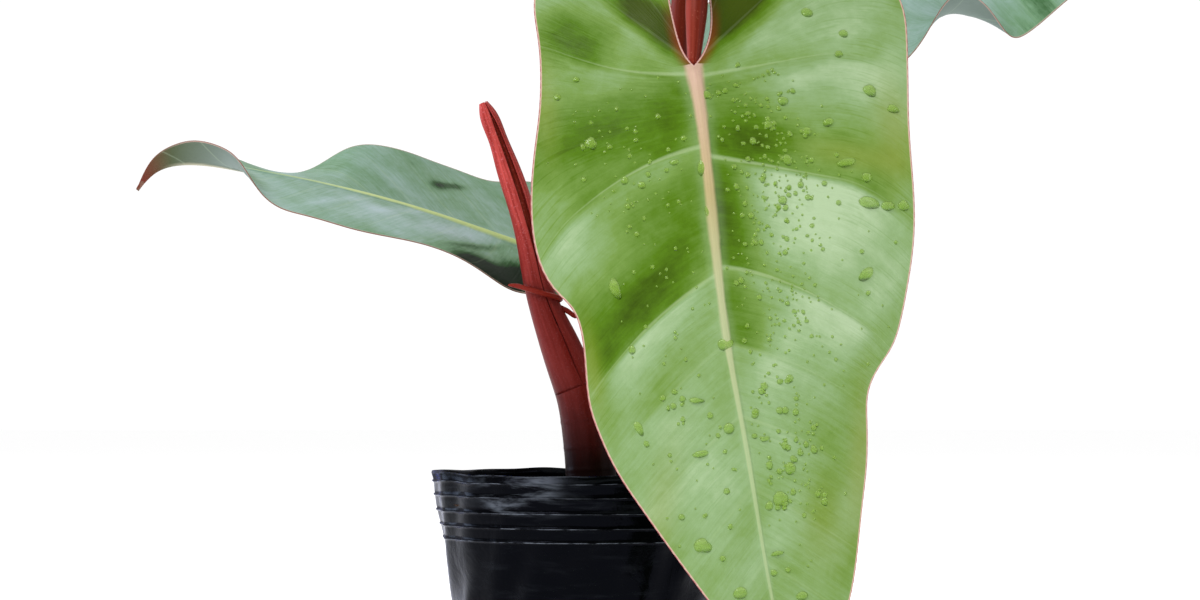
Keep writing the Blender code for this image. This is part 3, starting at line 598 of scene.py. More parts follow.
def leaf_under_look(name, base, half_way, tip):
    """Underside of a blade: paler and duller, turning towards the tip's colour, with a pale keel."""
    look = Look(name, Roughness=0.6, Specular_IOR_Level=0.12)
    across, along, edge = (look.axes(look.attribute("blade", "Vector"))[i] for i in range(3))
    phase = look.axes(look.coordinates("UV"))[1]
    patch = look.noise(look.coordinates(), 60.0, 4.0)
    hair = look.noise(look.vector(look.times(phase, 30.0), across), 1.0, 3.0)
    colour = look.ramp(along, [(0.78, base), (0.90, half_way), (0.985, tip)])
    plain = look.smooth(along, 0.95, 0.85)
    colour = look.mix(look.times(look.times(patch, 0.35), plain), colour, srgb(84, 104, 84))
    colour = look.mix(look.times(hair, 0.08), colour, srgb(160, 176, 158))
    offset, strength = vein_offset(look, phase)
    line = look.times(look.smooth(offset, 0.9, 0.3), look.smooth(strength, 0.0, 0.1))
    colour = look.mix(look.times(line, 0.18), colour, srgb(166, 182, 156))
    taper = look.smooth(along, 0.94, 0.84)
    keel = look.times(look.smooth(across, 1.5, 0.5), taper)
    colour = look.mix(keel, colour, srgb(176, 172, 150))
    colour = look.mix(look.times(look.smooth(edge, 0.7, 0.4), taper), colour, srgb(172, 146, 136))
    look.set("Base Color", colour)
    look.bump(hair, 0.08, 0.0006)
    return look.material


# ---------------------------------------------------------------- leaves


def leaf_frame(leaf, count=300):
    """Points along the midrib with their run, tangent, face normal and the direction across to the right."""
    midrib = in_world(leaf["midrib"])
    natural = even_points(midrib, 2)[1]
    midrib = midrib[0] + (midrib - midrib[0]) * leaf["length"] / natural
    centre, length = even_points(midrib, count)
    tangent = unit(np.gradient(centre, axis=0))
    shares = np.linspace(0, 1, count)
    hint = spline([share for share, _ in leaf["face"]], [face for _, face in leaf["face"]], shares)
    normal = unit(hint - (hint * tangent).sum(1, keepdims=True) * tangent)
    return shares * length, centre, tangent, normal, np.cross(normal, tangent), length


SIDES = (("right", 1), ("left", -1))


def outer_edge(half, count):
    """Evenly spaced points of one side's outline, from the lobe's rear corner to the tip, in leaf lengths."""
    return even_points(half["outer"] + [(0.0, 1.0)], count)[0]


def blade_width(half, along, count):
    """Distance from the midrib out to one side's outline, read at count points of it, in leaf lengths."""
    edge = outer_edge(half, count)
    start = int(np.argmin(edge[:, 1]))
    return np.interp(along, edge[start:, 1], edge[start:, 0])


def leaf_points(leaf, side, across, along):
    """World points of (across, along), both in leaf lengths, on one side of the midrib.

    Each point is the midrib point plus the side and face directions, weighted by the cosine and sine of an
    angle that starts at the section's own value and curls further the nearer the point is to the edge.
    """
    half = leaf[side]
    run, centre, tangent, normal, sideways, length = leaf_frame(leaf)

    def read(values, where):
        return np.stack([np.interp(where, run, column) for column in values.T], -1)

    where = np.clip(along, 0, 1) * length
    base = read(centre, where)
    t = unit(read(tangent, where))
    n = unit(read(normal, where))
    b = unit(read(sideways, where)) * (1 if side == "right" else -1)
    back = np.minimum(along, 0.0)[..., None]
    base = base + t * back * length + n * leaf["lobe_lean"] * back**2 * length
    width = blade_width(half, np.maximum(along, 0), 1200)
    share = np.clip(across / np.maximum(width, 0.013), 0, 1.15)
    rows = np.array(half["section"], float)
    angles = np.radians(spline(rows[:, 0], rows[:, 1:], np.clip(along, rows[0, 0], 1)))
    steps = (np.arange(12) + 0.5) / 12
    reach = share[..., None] * steps
    tilt = angles[..., 0:1] + angles[..., 1:2] * reach + angles[..., 2:3] * reach**4
    out = across * length * np.cos(tilt).mean(-1)
    rise = across * length * np.sin(tilt).mean(-1)
    return base + b * out[..., None] + n * rise[..., None]


def middle_surface(leaf, side, across, along):
    """Points of leaf_points with the way across to a near point, and the normal on the upper side."""
    step = 0.002
    middle = leaf_points(leaf, side, across, along)
    outwards = leaf_points(leaf, side, across + step, along) - middle
    onwards = leaf_points(leaf, side, across, along + step) - leaf_points(leaf, side, across, along - step)
    normal = unit(np.cross(onwards, outwards) if side == "right" else np.cross(outwards, onwards))
    return middle, outwards, normal


def leaf_grid(half, rows, columns):
    """Ladder of (across, along) points from the midrib or sinus out to the outline, close at both ends."""
    lobe_share = 0.27
    q = np.linspace(0, 1, rows)
    outer = outer_edge(half, rows)
    edge_in = even_points([half["outer"][0]] + half["inner"] + [(0.0, 0.0)], 200)[0]
    inner = np.zeros((rows, 2))
    lobe = q <= lobe_share + 1e-9
    for k in range(2):
        inner[lobe, k] = np.interp(q[lobe], np.linspace(0, lobe_share, 200), edge_in[:, k])
    inner[~lobe, 1] = ((q[~lobe] - lobe_share) / (1 - lobe_share)) ** 1.5
    t = (1 - np.cos(math.pi * np.linspace(0, 1, columns)))[None] / 2
    bend = 1 + 0.35 * np.clip((q - lobe_share) / 0.15, 0, 1)[:, None]
    across = inner[:, :1] + (outer[:, :1] - inner[:, :1]) * t
    along = inner[:, 1:] + (outer[:, 1:] - inner[:, 1:]) * t**bend
    return across, along, int(lobe.sum())


def vein_phase(half, across, along):
    """Where a point lies among the main side veins: whole numbers on them and shares in between, and the gap.

    A vein runs along = foot + slope * across + bend * across^2, and turns towards the tip near the margin.
    """
    foot, slope, bend = np.array([row[:3] for row in half["veins"]], float).T
    x = across[..., None]
    lines = foot + slope * x + bend * x**2 + 3.5 * np.maximum(x - 0.2, 0) ** 2
    above = np.clip((along[..., None] > lines).sum(-1), 1, len(foot) - 1)
    low = np.take_along_axis(lines, above[..., None] - 1, -1)[..., 0]
    high = np.take_along_axis(lines, above[..., None], -1)[..., 0]
    gap = np.maximum(high - low, 0.004)
    return np.clip(above - 1 + (along - low) / gap, -1.0, len(foot)), gap


def patch_field(rows, phase, across, along):
    """Sum of soft oval patches: strength * exp(-distance^2) in each patch's own turned and scaled axes."""
    total = np.zeros_like(across)
    for panel, x, y, wide, tall, turn, strength in rows:
        c, s = math.cos(math.radians(turn)), math.sin(math.radians(turn))
        u = ((across - x) * c + (along - y) * s) / wide
        v = ((along - y) * c - (across - x) * s) / tall
        spot = strength * np.exp(-((u**2 + v**2) ** 1.1))
        if panel is not None:
            spot = spot * smooth_step(phase, panel, panel + 0.06)
            spot = spot * smooth_step(phase, panel + 1.02, panel + 0.98)
        total += spot
    return total


def margin_distance(half, across, along):
    """Distance of each point from the outline or the sinus, whichever is nearer, and from the sinus alone."""
    sinus = even_points([(0.0, 0.0)] + half["inner"][::-1] + [half["outer"][0]], 120)[0]
    nearest = []
    for line in (np.concatenate([sinus, outer_edge(half, 700)]), sinus):
        nearest.append(np.array([
            np.hypot(x[:, None] - line[:, 0], y[:, None] - line[:, 1]).min(-1) for x, y in zip(across, along)
        ]))
    return nearest


def quilting(leaf, side, across, along, away):
    """Height of the blade's bulges, with the body, vein strength and relief that they come from.

    A bulge is sin(pi * share between two veins) * sin(pi * share of the width), lower between weak veins,
    plus a slow ripple. The body falls to 0 at the midrib and the margin.
    """
    half = leaf[side]
    phase, gap = vein_phase(half, across, along)
    width = blade_width(half, np.clip(along, 0, 1), 700)
    body = np.sin(math.pi * np.clip(across / np.maximum(width, 0.01), 0, 1)) * smooth_step(away, 0.0, 0.05)
    strength = np.interp(phase, np.arange(len(half["veins"])), [row[3] for row in half["veins"]])
    relief = np.clip(strength / 0.3, 0.25, 1)
    bulge = np.sin(math.pi * (phase - np.floor(phase))) ** 0.8 * np.clip(gap / 0.09, 0, 1) * relief
    sign = 1 if side == "right" else -1
    ripple = 0.35 * waves(sign * across * 1.3, along * 1.2, 5, 6)
    height = leaf["quilt"] * body * (bulge + ripple) * smooth_step(across, 0.0, 0.05)
    return height, body, strength, relief


def blade_half(leaf, side, rows, columns):
    """Upper and lower points of one half of a blade with their coordinates, tints and quads.

    The middle surface is leaf_points. Both skins stand half the thickness off it and move together by the
    quilting. The rib is a rounded ridge, low on top and tall underneath, and the side veins are fine grooves
    on top and ridges underneath. A ring of points in between rounds the margin.
    """
    half = leaf[side]
    length = leaf["length"]
    across, along, lobe_rows = leaf_grid(half, rows, columns)
    middle, outwards, normal = middle_surface(leaf, side, across, along)
    run, _, _, face, _, _ = leaf_frame(leaf)
    where = np.clip(along, 0, 1) * run[-1]
    rib_normal = unit(np.stack([np.interp(where, run, column) for column in face.T], -1))
    normal = unit(rib_normal + (normal - rib_normal) * smooth_step(across, 0.0, 0.02)[..., None])

    away, from_sinus = margin_distance(half, across, along)
    on_rib_line = (across < 1e-6) & (along > 0.004)
    away[on_rib_line] = np.maximum(away[on_rib_line], 0.006)
    phase, gap = vein_phase(half, across, along)
    share = phase - np.floor(phase)
    quilt, body, strength, relief = quilting(leaf, side, across, along, away)
    sign = 1 if side == "right" else -1
    rib_half = np.interp(along, [0, 0.9], leaf["rib"]) / length
    on_top = np.sqrt(np.clip(1 - (across / rib_half) ** 2, 0, 1)) * smooth_step(along, -0.01, 0.01)
    rib_height = np.interp(along, [0, 0.9], [leaf["rib"][0] * 0.45, leaf["rib"][1] * 0.4])
    under_half = rib_half * 1.25
    on_under = np.sqrt(np.clip(1 - (across / under_half) ** 2, 0, 1)) * smooth_step(along, -0.02, 0.02)
    groove = np.exp(-(((share + 0.5) % 1 - 0.5) * gap * length / 0.0009) ** 2)
    groove = groove * body * np.clip(strength / 0.4, 0, 1)
    thick = LEAF_THICKNESS / 2 * (0.45 + 0.55 * smooth_step(away, 0.0, 0.02))
    top = middle + normal * (thick + quilt + rib_height * on_top - 0.00025 * groove)[..., None]
    low = middle - normal * (thick - quilt + rib_height * 2.4 * on_under + 0.0005 * groove)[..., None]

    lip = unit(outwards[:, -1])
    ring = middle[:, -1] + lip * 0.00025 + normal[:, -1] * quilt[:, -1:]
    inwards = -unit(outwards[:lobe_rows, 0])
    sinus = middle[:lobe_rows, 0] + inwards * 0.00025
    sinus[-1] = middle[lobe_rows - 1, 0]

    # Painted light and shade: the patches lay paler sheen and deeper shade on the blade.
    painted_light_and_tone = 0.60 + patch_field(half["light_and_shade_patches"], phase, across, along)
    # Painted panel shading: lighter just past each vein and darker towards the next, as light falls on the
    # bulges.
    panel_light_and_shade = np.where(share < 0.07, share / 0.07 - 0.5, 0.5 - (share - 0.07) / 0.93)
    panel_light_and_shade = panel_light_and_shade * leaf["painted_panel_shade"] * relief
    panel_light_and_shade = panel_light_and_shade * smooth_step(across, 0.01, 0.07) * smooth_step(away, 0.0, 0.08)
    painted_light_and_tone = painted_light_and_tone + panel_light_and_shade + 0.05 * waves(sign * across * 3, along * 3, 11, 6)
    olive = np.clip(patch_field(half["olive"], phase, across, along), 0, 1)
    # Painted red-brown shade in the sinus, between the lobes beside the stalk.
    low_sinus = smooth_step(along, 0.006, -0.006) * smooth_step(along, -0.16, -0.03)
    sinus_shade = leaf["sinus_red_shade"] * smooth_step(from_sinus, 0.020, 0.0) * low_sinus
    tint = np.stack([painted_light_and_tone, olive, sinus_shade], -1).reshape(-1, 3)
    blade = np.stack([across * length * 1000, along, away * length * 1000], -1).reshape(-1, 3)
    veins = np.stack([gap * length * 1000, strength, 0 * gap], -1).reshape(-1, 3)
    uv = np.stack([sign * across * 4, phase], -1).reshape(-1, 2)

    size = rows * columns
    number = np.arange(size).reshape(rows, columns)
    edge_rows = np.stack([number[:, -1], np.arange(rows) + 2 * size, number[:, -1] + size])
    sinus_rows = np.stack(
        [number[:lobe_rows, 0], np.arange(lobe_rows) + 2 * size + rows, number[:lobe_rows, 0] + size]
    )
    quads = [grid_faces(rows, columns), grid_faces(rows, columns, size)[:, ::-1]]
    for band in (edge_rows, sinus_rows[::-1]):
        for a, b in ((band[0], band[1]), (band[1], band[2])):
            quads.append(np.stack([a[:-1], a[1:], b[1:], b[:-1]], -1))
    ends = np.concatenate([number[:, -1], number[:lobe_rows, 0]])
    points = np.concatenate([top.reshape(-1, 3), low.reshape(-1, 3), ring, sinus])
    looks = np.concatenate([np.full(len(quad), float(number == 1)) for number, quad in enumerate(quads)])

    def every(values):
        return np.concatenate([values, values, values[ends]])

    rim_blade = every(blade)
    rim_blade[2 * size :, 2] = 0.0
    return points, np.concatenate(quads), looks, every(uv), every(tint), rim_blade, every(veins)


def make_leaf(name, leaf, rows, columns, looks, node):
    parts = [blade_half(leaf, side, rows, columns) for side, _ in SIDES]
    shift = len(parts[0][0])
    left_faces = parts[1][1][:, ::-1] + shift
    points = np.concatenate([part[0] for part in parts])
    faces = np.concatenate([parts[0][1], left_faces])
    index = np.concatenate([part[2] for part in parts])
    uv, tint, blade, veins = (np.concatenate([part[k] for part in parts]) for k in (3, 4, 5, 6))
    attributes = {"tint": tint, "blade": blade, "side_veins": veins}
    return make_piece(name, points, faces, looks, [node], uv, attributes, index)


# Greens from deep to pale: the deep end is painted shade and the pale, greyer end painted sheen.
FRONT_GREENS = [
    srgb(44, 62, 0), srgb(76, 112, 16), srgb(108, 139, 66), srgb(133, 161, 112), srgb(164, 186, 147),
]
BLUE_GREENS = [
    srgb(8, 30, 2), srgb(40, 82, 34), srgb(110, 146, 112), srgb(142, 170, 158), srgb(168, 189, 192),
]
front_top = leaf_top_look(
    "leaf upper side", FRONT_GREENS,
    [
        (0.0, srgb(190, 152, 142)), (0.20, srgb(164, 147, 104)), (0.34, srgb(158, 165, 126)),
        (0.6, srgb(150, 174, 130)),
    ],
    FRONT_LEAF["rib"], (srgb(206, 168, 156), srgb(160, 88, 88)), srgb(126, 132, 70), (0.36, 0.09), 0.26,
)
blue_top = leaf_top_look(
    "back leaf upper side", BLUE_GREENS,
    [(0.0, srgb(166, 192, 118)), (0.5, srgb(196, 216, 146)), (0.8, srgb(150, 184, 140))],
    LEFT_LEAF["rib"], (srgb(176, 166, 148), srgb(128, 92, 80)), srgb(104, 48, 34), (0.50, 0.06), 0.34,
)
front_under = leaf_under_look("leaf underside", srgb(120, 150, 100), srgb(124, 150, 100), srgb(130, 150, 100))
blue_under = leaf_under_look("back leaf underside", srgb(112, 125, 121), srgb(66, 74, 42), srgb(118, 28, 22))
make_leaf("front_leaf", FRONT_LEAF, 301, 72, [front_top, front_under], "leaf_front")
make_leaf("left_leaf", LEFT_LEAF, 201, 52, [blue_top, blue_under], "leaf_left")
make_leaf("right_leaf", RIGHT_LEAF, 201, 52, [blue_top, blue_under], "leaf_right")


# ---------------------------------------------------------------- stalks


def petiole_look(name, lit, deep):
    """Stalk skin: painted light and shade, a lit side and a shaded side with a painted pink highlight down
    one edge, fine lengthwise streaks, small pale flecks, and painted shade on the part that rises behind the
    leaves.
    """
    look = Look(name, Roughness=0.40, Specular_IOR_Level=0.10)
    place = look.axes(look.coordinates("UV"))
    # Painted light and shade round the stalk: the lit colour on one side, the deep colour on the other.
    side = look.math("COSINE", look.times(look.minus(place[0], 0.75), math.tau))
    streak = look.noise(look.vector(look.times(place[0], 22.0), look.times(place[1], 14.0)), 1.0, 5.0)
    fleck = look.noise(look.coordinates(), 1500.0, 2.0)
    value = look.plus(look.times(side, 0.4), look.times(streak, 0.9))
    colour = look.mix(look.smooth(value, 0.1, 0.95), deep, lit)
    # Painted pink highlight in a narrow band down one side of the stalk.
    face = look.math("COSINE", look.times(look.minus(place[0], 0.84), math.tau))
    colour = look.mix(look.smooth(face, 0.86, 1.0, 0.0, 0.20), colour, srgb(206, 96, 92))
    colour = look.mix(look.smooth(fleck, 0.62, 0.75, 0.0, 0.22), colour, srgb(206, 126, 104))
    # Painted shade: the first stretch of each stalk, which rises behind the leaves in shadow, is darker.
    colour = look.mix(look.smooth(place[1], 0.27, 0.19, 0.0, 0.45), colour, srgb(84, 20, 18))
    look.set("Base Color", colour)
    look.bump(streak, 0.35, 0.0006)
    return look.material


def make_petiole(name, points, attachment, radius, tip_share, reference, look, set_back=np.zeros(3)):
    """A stalk: radius times its taper, a little flattened on one side and swollen at its foot.

    Its last tenth is moved smoothly by set_back, and tip_share is the share of the radius left at its end.
    """
    route = in_world(points + [attachment])
    path, _ = even_points(route, 120)
    shares = np.linspace(0, 1, 120)
    path = path + set_back * smooth_step(shares, 0.90, 1.0)[:, None]
    taper = np.interp(shares, [0, 0.12, 0.5, 0.8, 0.93, 1], [1.25, 1.1, 0.95, 1.0, 0.95, tip_share])
    radii = radius * taper * (1 + 0.01 * np.sin(shares * 60))

    def shape(angle, share):
        return 1 - 0.07 * np.clip(np.sin(angle), 0, 1) ** 4 + 0.012 * np.cos(7 * angle)

    return tube(name, path, radii, 36, reference, look, [name], shape)


stalk = petiole_look("stalk", srgb(130, 42, 24), srgb(82, 20, 8))
make_petiole(
    "petiole_front", FRONT_PETIOLE, FRONT_LEAF["midrib"][0], 0.0056, 0.50, (1.0, 0.0, 0.0), stalk,
    np.array([0.0, 0.0032, 0.0]),
)
make_petiole("petiole_left", LEFT_PETIOLE, LEFT_LEAF["midrib"][0], 0.0040, 0.70, (0.8, -0.3, -0.5), stalk)
make_petiole("petiole_right", RIGHT_PETIOLE, RIGHT_LEAF["midrib"][0], 0.0045, 0.70, (0.7, -0.7, 0.0), stalk)


# ---------------------------------------------------------------- shoot

SHOOT_SHARES = chord_shares([point for point, _ in SHOOT])[0]


def shoot_at(heights):
    """Centre points and outer radii of the shoot at heights above the mix."""
    centres = np.array([point for point, _ in SHOOT])
    shares = np.interp(heights, centres[:, 2], SHOOT_SHARES)
    radii = spline(SHOOT_SHARES, [share * STEM_RADIUS for _, share in SHOOT], shares)
    return in_world(spline(SHOOT_SHARES, centres, shares)), radii


def shoot_look(name, lit, deep, base, flecks=0.5):
    """Red skin of the shoot: streaks along it, fine pale specks, and painted shade that darkens it towards
    the mix, nearly black at the foot.
    """
    look = Look(name, Roughness=0.44, Specular_IOR_Level=0.07)
    place = look.axes(look.coordinates("UV"))
    height = look.axes(look.coordinates())[2]
    streak = look.noise(look.vector(look.times(place[0], 20.0), look.times(place[1], 30.0)), 1.0, 5.0, 0.6)
    blotch = look.noise(look.coordinates(), 130.0, 5.0, 0.6)
    speck = look.noise(look.coordinates(), 1150.0, 2.0, 0.6)
    colour = look.mix(look.smooth(streak, 0.3, 0.7), deep, lit)
    colour = look.mix(look.smooth(blotch, 0.45, 0.75, 0.0, 0.5), colour, deep)
    colour = look.mix(look.smooth(speck, 0.56, 0.70, 0.0, flecks), colour, srgb(206, 110, 116))
    # Painted shade: deeper red from below the leaves downwards, then the base colour, painted shade at the
    # foot by the mix.
    level = look.plus(height, look.times(blotch, 0.012))
    middle = look.smooth(level, MIX_TOP + 0.095, MIX_TOP + 0.165, 0.80, 0.0)
    colour = look.mix(middle, colour, srgb(76, 10, 5))
    colour = look.mix(look.smooth(level, MIX_TOP + 0.018, MIX_TOP + 0.078, 1.0, 0.0), colour, base)
    look.set("Base Color", colour)
    look.set("Roughness", look.smooth(streak, 0.2, 0.8, 0.34, 0.48))
    look.bump(streak, 0.4, 0.0006)
    look.bump(speck, 0.15, 0.0003)
    return look.material


def sheath_wall(heights):
    """The sheath's thickness, from a papery foot up to its full wall."""
    return SHEATH_WALL * np.clip((heights - SHEATH_BASE) / 0.014, 0.05, 1)


STEM_RINGS = (0.004, 0.016, 0.027, 0.040)
# The third colour of each shoot look is the painted shade at its foot by the mix.
RED_LIT, RED_DEEP, RED_FOOT_SHADE = srgb(206, 82, 78), srgb(150, 44, 40), srgb(16, 2, 1)
stem_look = shoot_look("stem skin", RED_LIT, RED_DEEP, RED_FOOT_SHADE, 0.6)
sheath_look = shoot_look("sheath skin", RED_LIT, RED_DEEP, RED_FOOT_SHADE, 0.6)
new_leaf_look = shoot_look("rolled leaf", srgb(150, 52, 38), srgb(92, 24, 18), srgb(60, 16, 10), 0.2)
root_look = shoot_look("aerial root skin", srgb(214, 74, 50), srgb(160, 40, 34), srgb(120, 40, 30), 0.25)


def make_stem():
    """The stem: the shoot's radius, less the sheath's wall above its foot, with a ring at each old leaf."""
    heights = np.linspace(STEM_BOTTOM, STEM_TOP, 150)
    path, outer = shoot_at(heights)
    radii = outer - np.where(heights > SHEATH_BASE - 0.0002, sheath_wall(heights) + 0.0001, 0.0)
    for ring in STEM_RINGS:
        radii = radii + 0.00015 * np.exp(-(((heights - ring) / 0.0009) ** 2))
    radii[-1] *= 0.7

    def shape(angle, share):
        return 1 + 0.006 * waves(angle / math.tau, share, 3, 6, 1, 5)

    return tube("stem", path, radii, 64, (0.0, -1.0, 0.0), stem_look, ["main_stem"], shape)


def make_sheath():
    """The sheath: a C-shaped section carried up the shoot. Its front slit opens with height and its left lip
    rolls outwards to a ridge; the wall thins to nothing at both lips and at its papery foot."""
    rows, columns = 150, 90
    heights = SHEATH_BASE + (SHOOT[-1][0][2] - SHEATH_BASE) * np.linspace(0, 1, rows) ** 0.9
    centres, outer = shoot_at(heights)
    along = unit(np.gradient(centres, axis=0))
    front = np.array([0.35, -1.0, 0.0])
    front = unit(front - along * (along @ front)[:, None])
    side = np.cross(along, front)
    slit = np.radians(2 + 12 * smooth_step(heights, 0.112, 0.140) * smooth_step(heights, 0.1925, 0.176))
    share = (1 - np.cos(math.pi * np.linspace(0, 1, columns)))[None] / 2
    angle = slit[:, None] + (math.tau - 2 * slit[:, None]) * share
    opened = smooth_step(heights, 0.100, 0.135)[:, None]
    lip_left = np.exp(-(((angle - slit[:, None]) / 0.34) ** 2))
    lip_right = np.exp(-(((math.tau - slit[:, None] - angle) / 0.30) ** 2))
    radii = outer[:, None] + (0.0004 * lip_left - 0.0002 * lip_right) * opened
    radii = radii * (1 + 0.006 * waves(share, np.linspace(0, 1, rows)[:, None], 9, 6, 1, 4))
    wall = sheath_wall(heights)[:, None]
    round_off = np.sqrt(np.clip(1 - (np.abs(2 * share - 1)) ** 10, 0, 1))
    inner = np.maximum(radii - wall * round_off, radii * 0.35)
    reach = np.concatenate([radii, inner[:, ::-1]], 1)
    turn = np.concatenate([angle, angle[:, ::-1]], 1)
    ring = np.cos(turn)[..., None] * front[:, None] + np.sin(turn)[..., None] * side[:, None]
    points = centres[:, None] + reach[..., None] * ring
    total = 2 * columns
    faces = [grid_faces(rows, total)]
    for start in (0, (rows - 1) * total):
        a = start + np.arange(columns - 1)
        b = start + total - 1 - np.arange(columns - 1)
        faces.append(np.stack([a, a + 1, b - 1, b], -1))
    run = np.concatenate([share, share[:, ::-1]], 1) * np.ones((rows, 1))
    uv = np.stack([run, np.repeat((heights - heights[0])[:, None], total, 1)], -1).reshape(-1, 2)
    made = make_piece(
        "sheath", points.reshape(-1, 3), np.concatenate(faces), [sheath_look], ["cataphyll"], uv
    )
    # The faces that close the foot stay flat, so that its edge shades cleanly.
    normals = np.empty((len(made.data.polygons), 3), np.float32)
    made.data.polygons.foreach_get("normal", normals.ravel())
    made.data.polygons.foreach_set("use_smooth", normals[:, 2] > -0.7)


def make_rolled_leaf():
    """The next leaf, rolled to a spindle whose radius winds in by a step at one side."""
    heights = np.linspace(STEM_TOP + 0.0012, NEW_LEAF_TOP, 120)
    path, outer = shoot_at(heights)
    radii = np.maximum(outer - SHEATH_WALL - 0.0006, outer * 0.25)
    radii[:2] *= 0.75
    radii[-2:] *= 0.6

    def shape(angle, share):
        return 0.94 + 0.06 * ((angle / math.tau + 0.4 + share * 0.3) % 1)

    front = (0.0, -1.0, 0.0)
    return tube("rolled_leaf", path, radii, 60, front, new_leaf_look, ["rolled_new_leaf"], shape)


def make_root(name, route, node):
    """An aerial root: a blunt tube with faint rings."""
    angles, heights, standoff = np.array(route, float).T
    centres, radii = shoot_at(heights)
    around = np.stack([np.cos(np.radians(angles)), np.sin(np.radians(angles)), np.zeros(len(angles))], 1)
    path, _ = even_points(centres + around * (radii + standoff)[:, None], 90)
    shares = np.linspace(0, 1, 90)
    widths = AERIAL_ROOT_RADIUS * np.interp(shares, [0, 0.5, 0.85, 0.97, 1], [1.0, 1.0, 0.92, 0.62, 0.25])
    widths = widths * (1 + 0.02 * np.sin(shares * 90) + 0.03 * np.sin(shares * 23))
    return tube(name, path, widths, 20, (0.0, 0.0, 1.0), root_look, [node])


make_stem()
make_sheath()
make_rolled_leaf()
make_root("aerial_root_long", LEFT_ROOT, "aerial_root_left")
make_root("aerial_root_short", RIGHT_ROOT, "aerial_root_right")


# ---------------------------------------------------------------- pot


def pot_look():
    """Thin glossy black film: a painted grey-blue reflection between the upper ribs at the front left, faint
    smears, a painted highlight along the rib crests, wrinkles and fine dust.
    """
    look = Look("pot film", Specular_IOR_Level=0.045, Sheen_Weight=0.22, Sheen_Roughness=0.25)
    look.set("Specular Tint", srgb(206, 216, 255))
    look.set("Sheen Tint", srgb(80, 110, 255))
    place = look.coordinates()
    turn, level, _ = look.axes(look.coordinates("UV"))
    soft = look.noise(place, 40.0, 5.0, 0.6, 0.8)
    dust = look.noise(place, 700.0, 3.0)
    stretched = look.vector(look.times(turn, 16.0), look.times(level, 210.0))
    smear_and_reflection = look.noise(stretched, 1.0, 5.0, 0.62, 0.4)
    fine = look.noise(look.vector(look.times(turn, 60.0), look.times(level, 900.0)), 1.0, 4.0)
    # Painted reflection: a pale grey-blue patch between the upper ribs, only round the front left where the
    # key light shows in the film; the same colour gives faint smears all round.
    side = look.math("ABSOLUTE", look.minus(turn, 0.680))
    upper = look.smooth(level, POT_HEIGHT - 0.021, POT_HEIGHT - 0.015)
    reflection_window = look.times(upper, look.smooth(side, 0.055, 0.022, 0.06, 1.0))
    high = look.times(reflection_window, look.smooth(smear_and_reflection, 0.46, 0.68))
    faint = look.times(look.smooth(smear_and_reflection, 0.50, 0.80), 0.03)
    colour = look.mix(look.smooth(soft, 0.45, 0.8), srgb(1, 1, 1), srgb(3, 3, 3))
    colour = look.mix(look.plus(look.times(high, 0.62), faint), colour, srgb(104, 110, 120))
    # Painted highlight along the rib crests, in broken lines.
    crest = look.times(look.smooth(look.attribute("crest"), 0.55, 0.95), look.smooth(fine, 0.40, 0.58))
    crest = look.times(crest, look.smooth(soft, 0.36, 0.64, 0.18, 1.0))
    colour = look.mix(look.times(crest, 0.58), colour, srgb(128, 134, 146))
    colour = look.mix(look.smooth(dust, 0.74, 0.84, 0.0, 0.16), colour, srgb(48, 46, 44))
    look.set("Base Color", colour)
    look.set("Roughness", look.smooth(soft, 0.3, 0.7, 0.16, 0.30))
    look.bump(soft, 0.25, 0.003)
    look.bump(look.noise(place, 220.0, 4.0), 0.10, 0.0008)
    return look.material


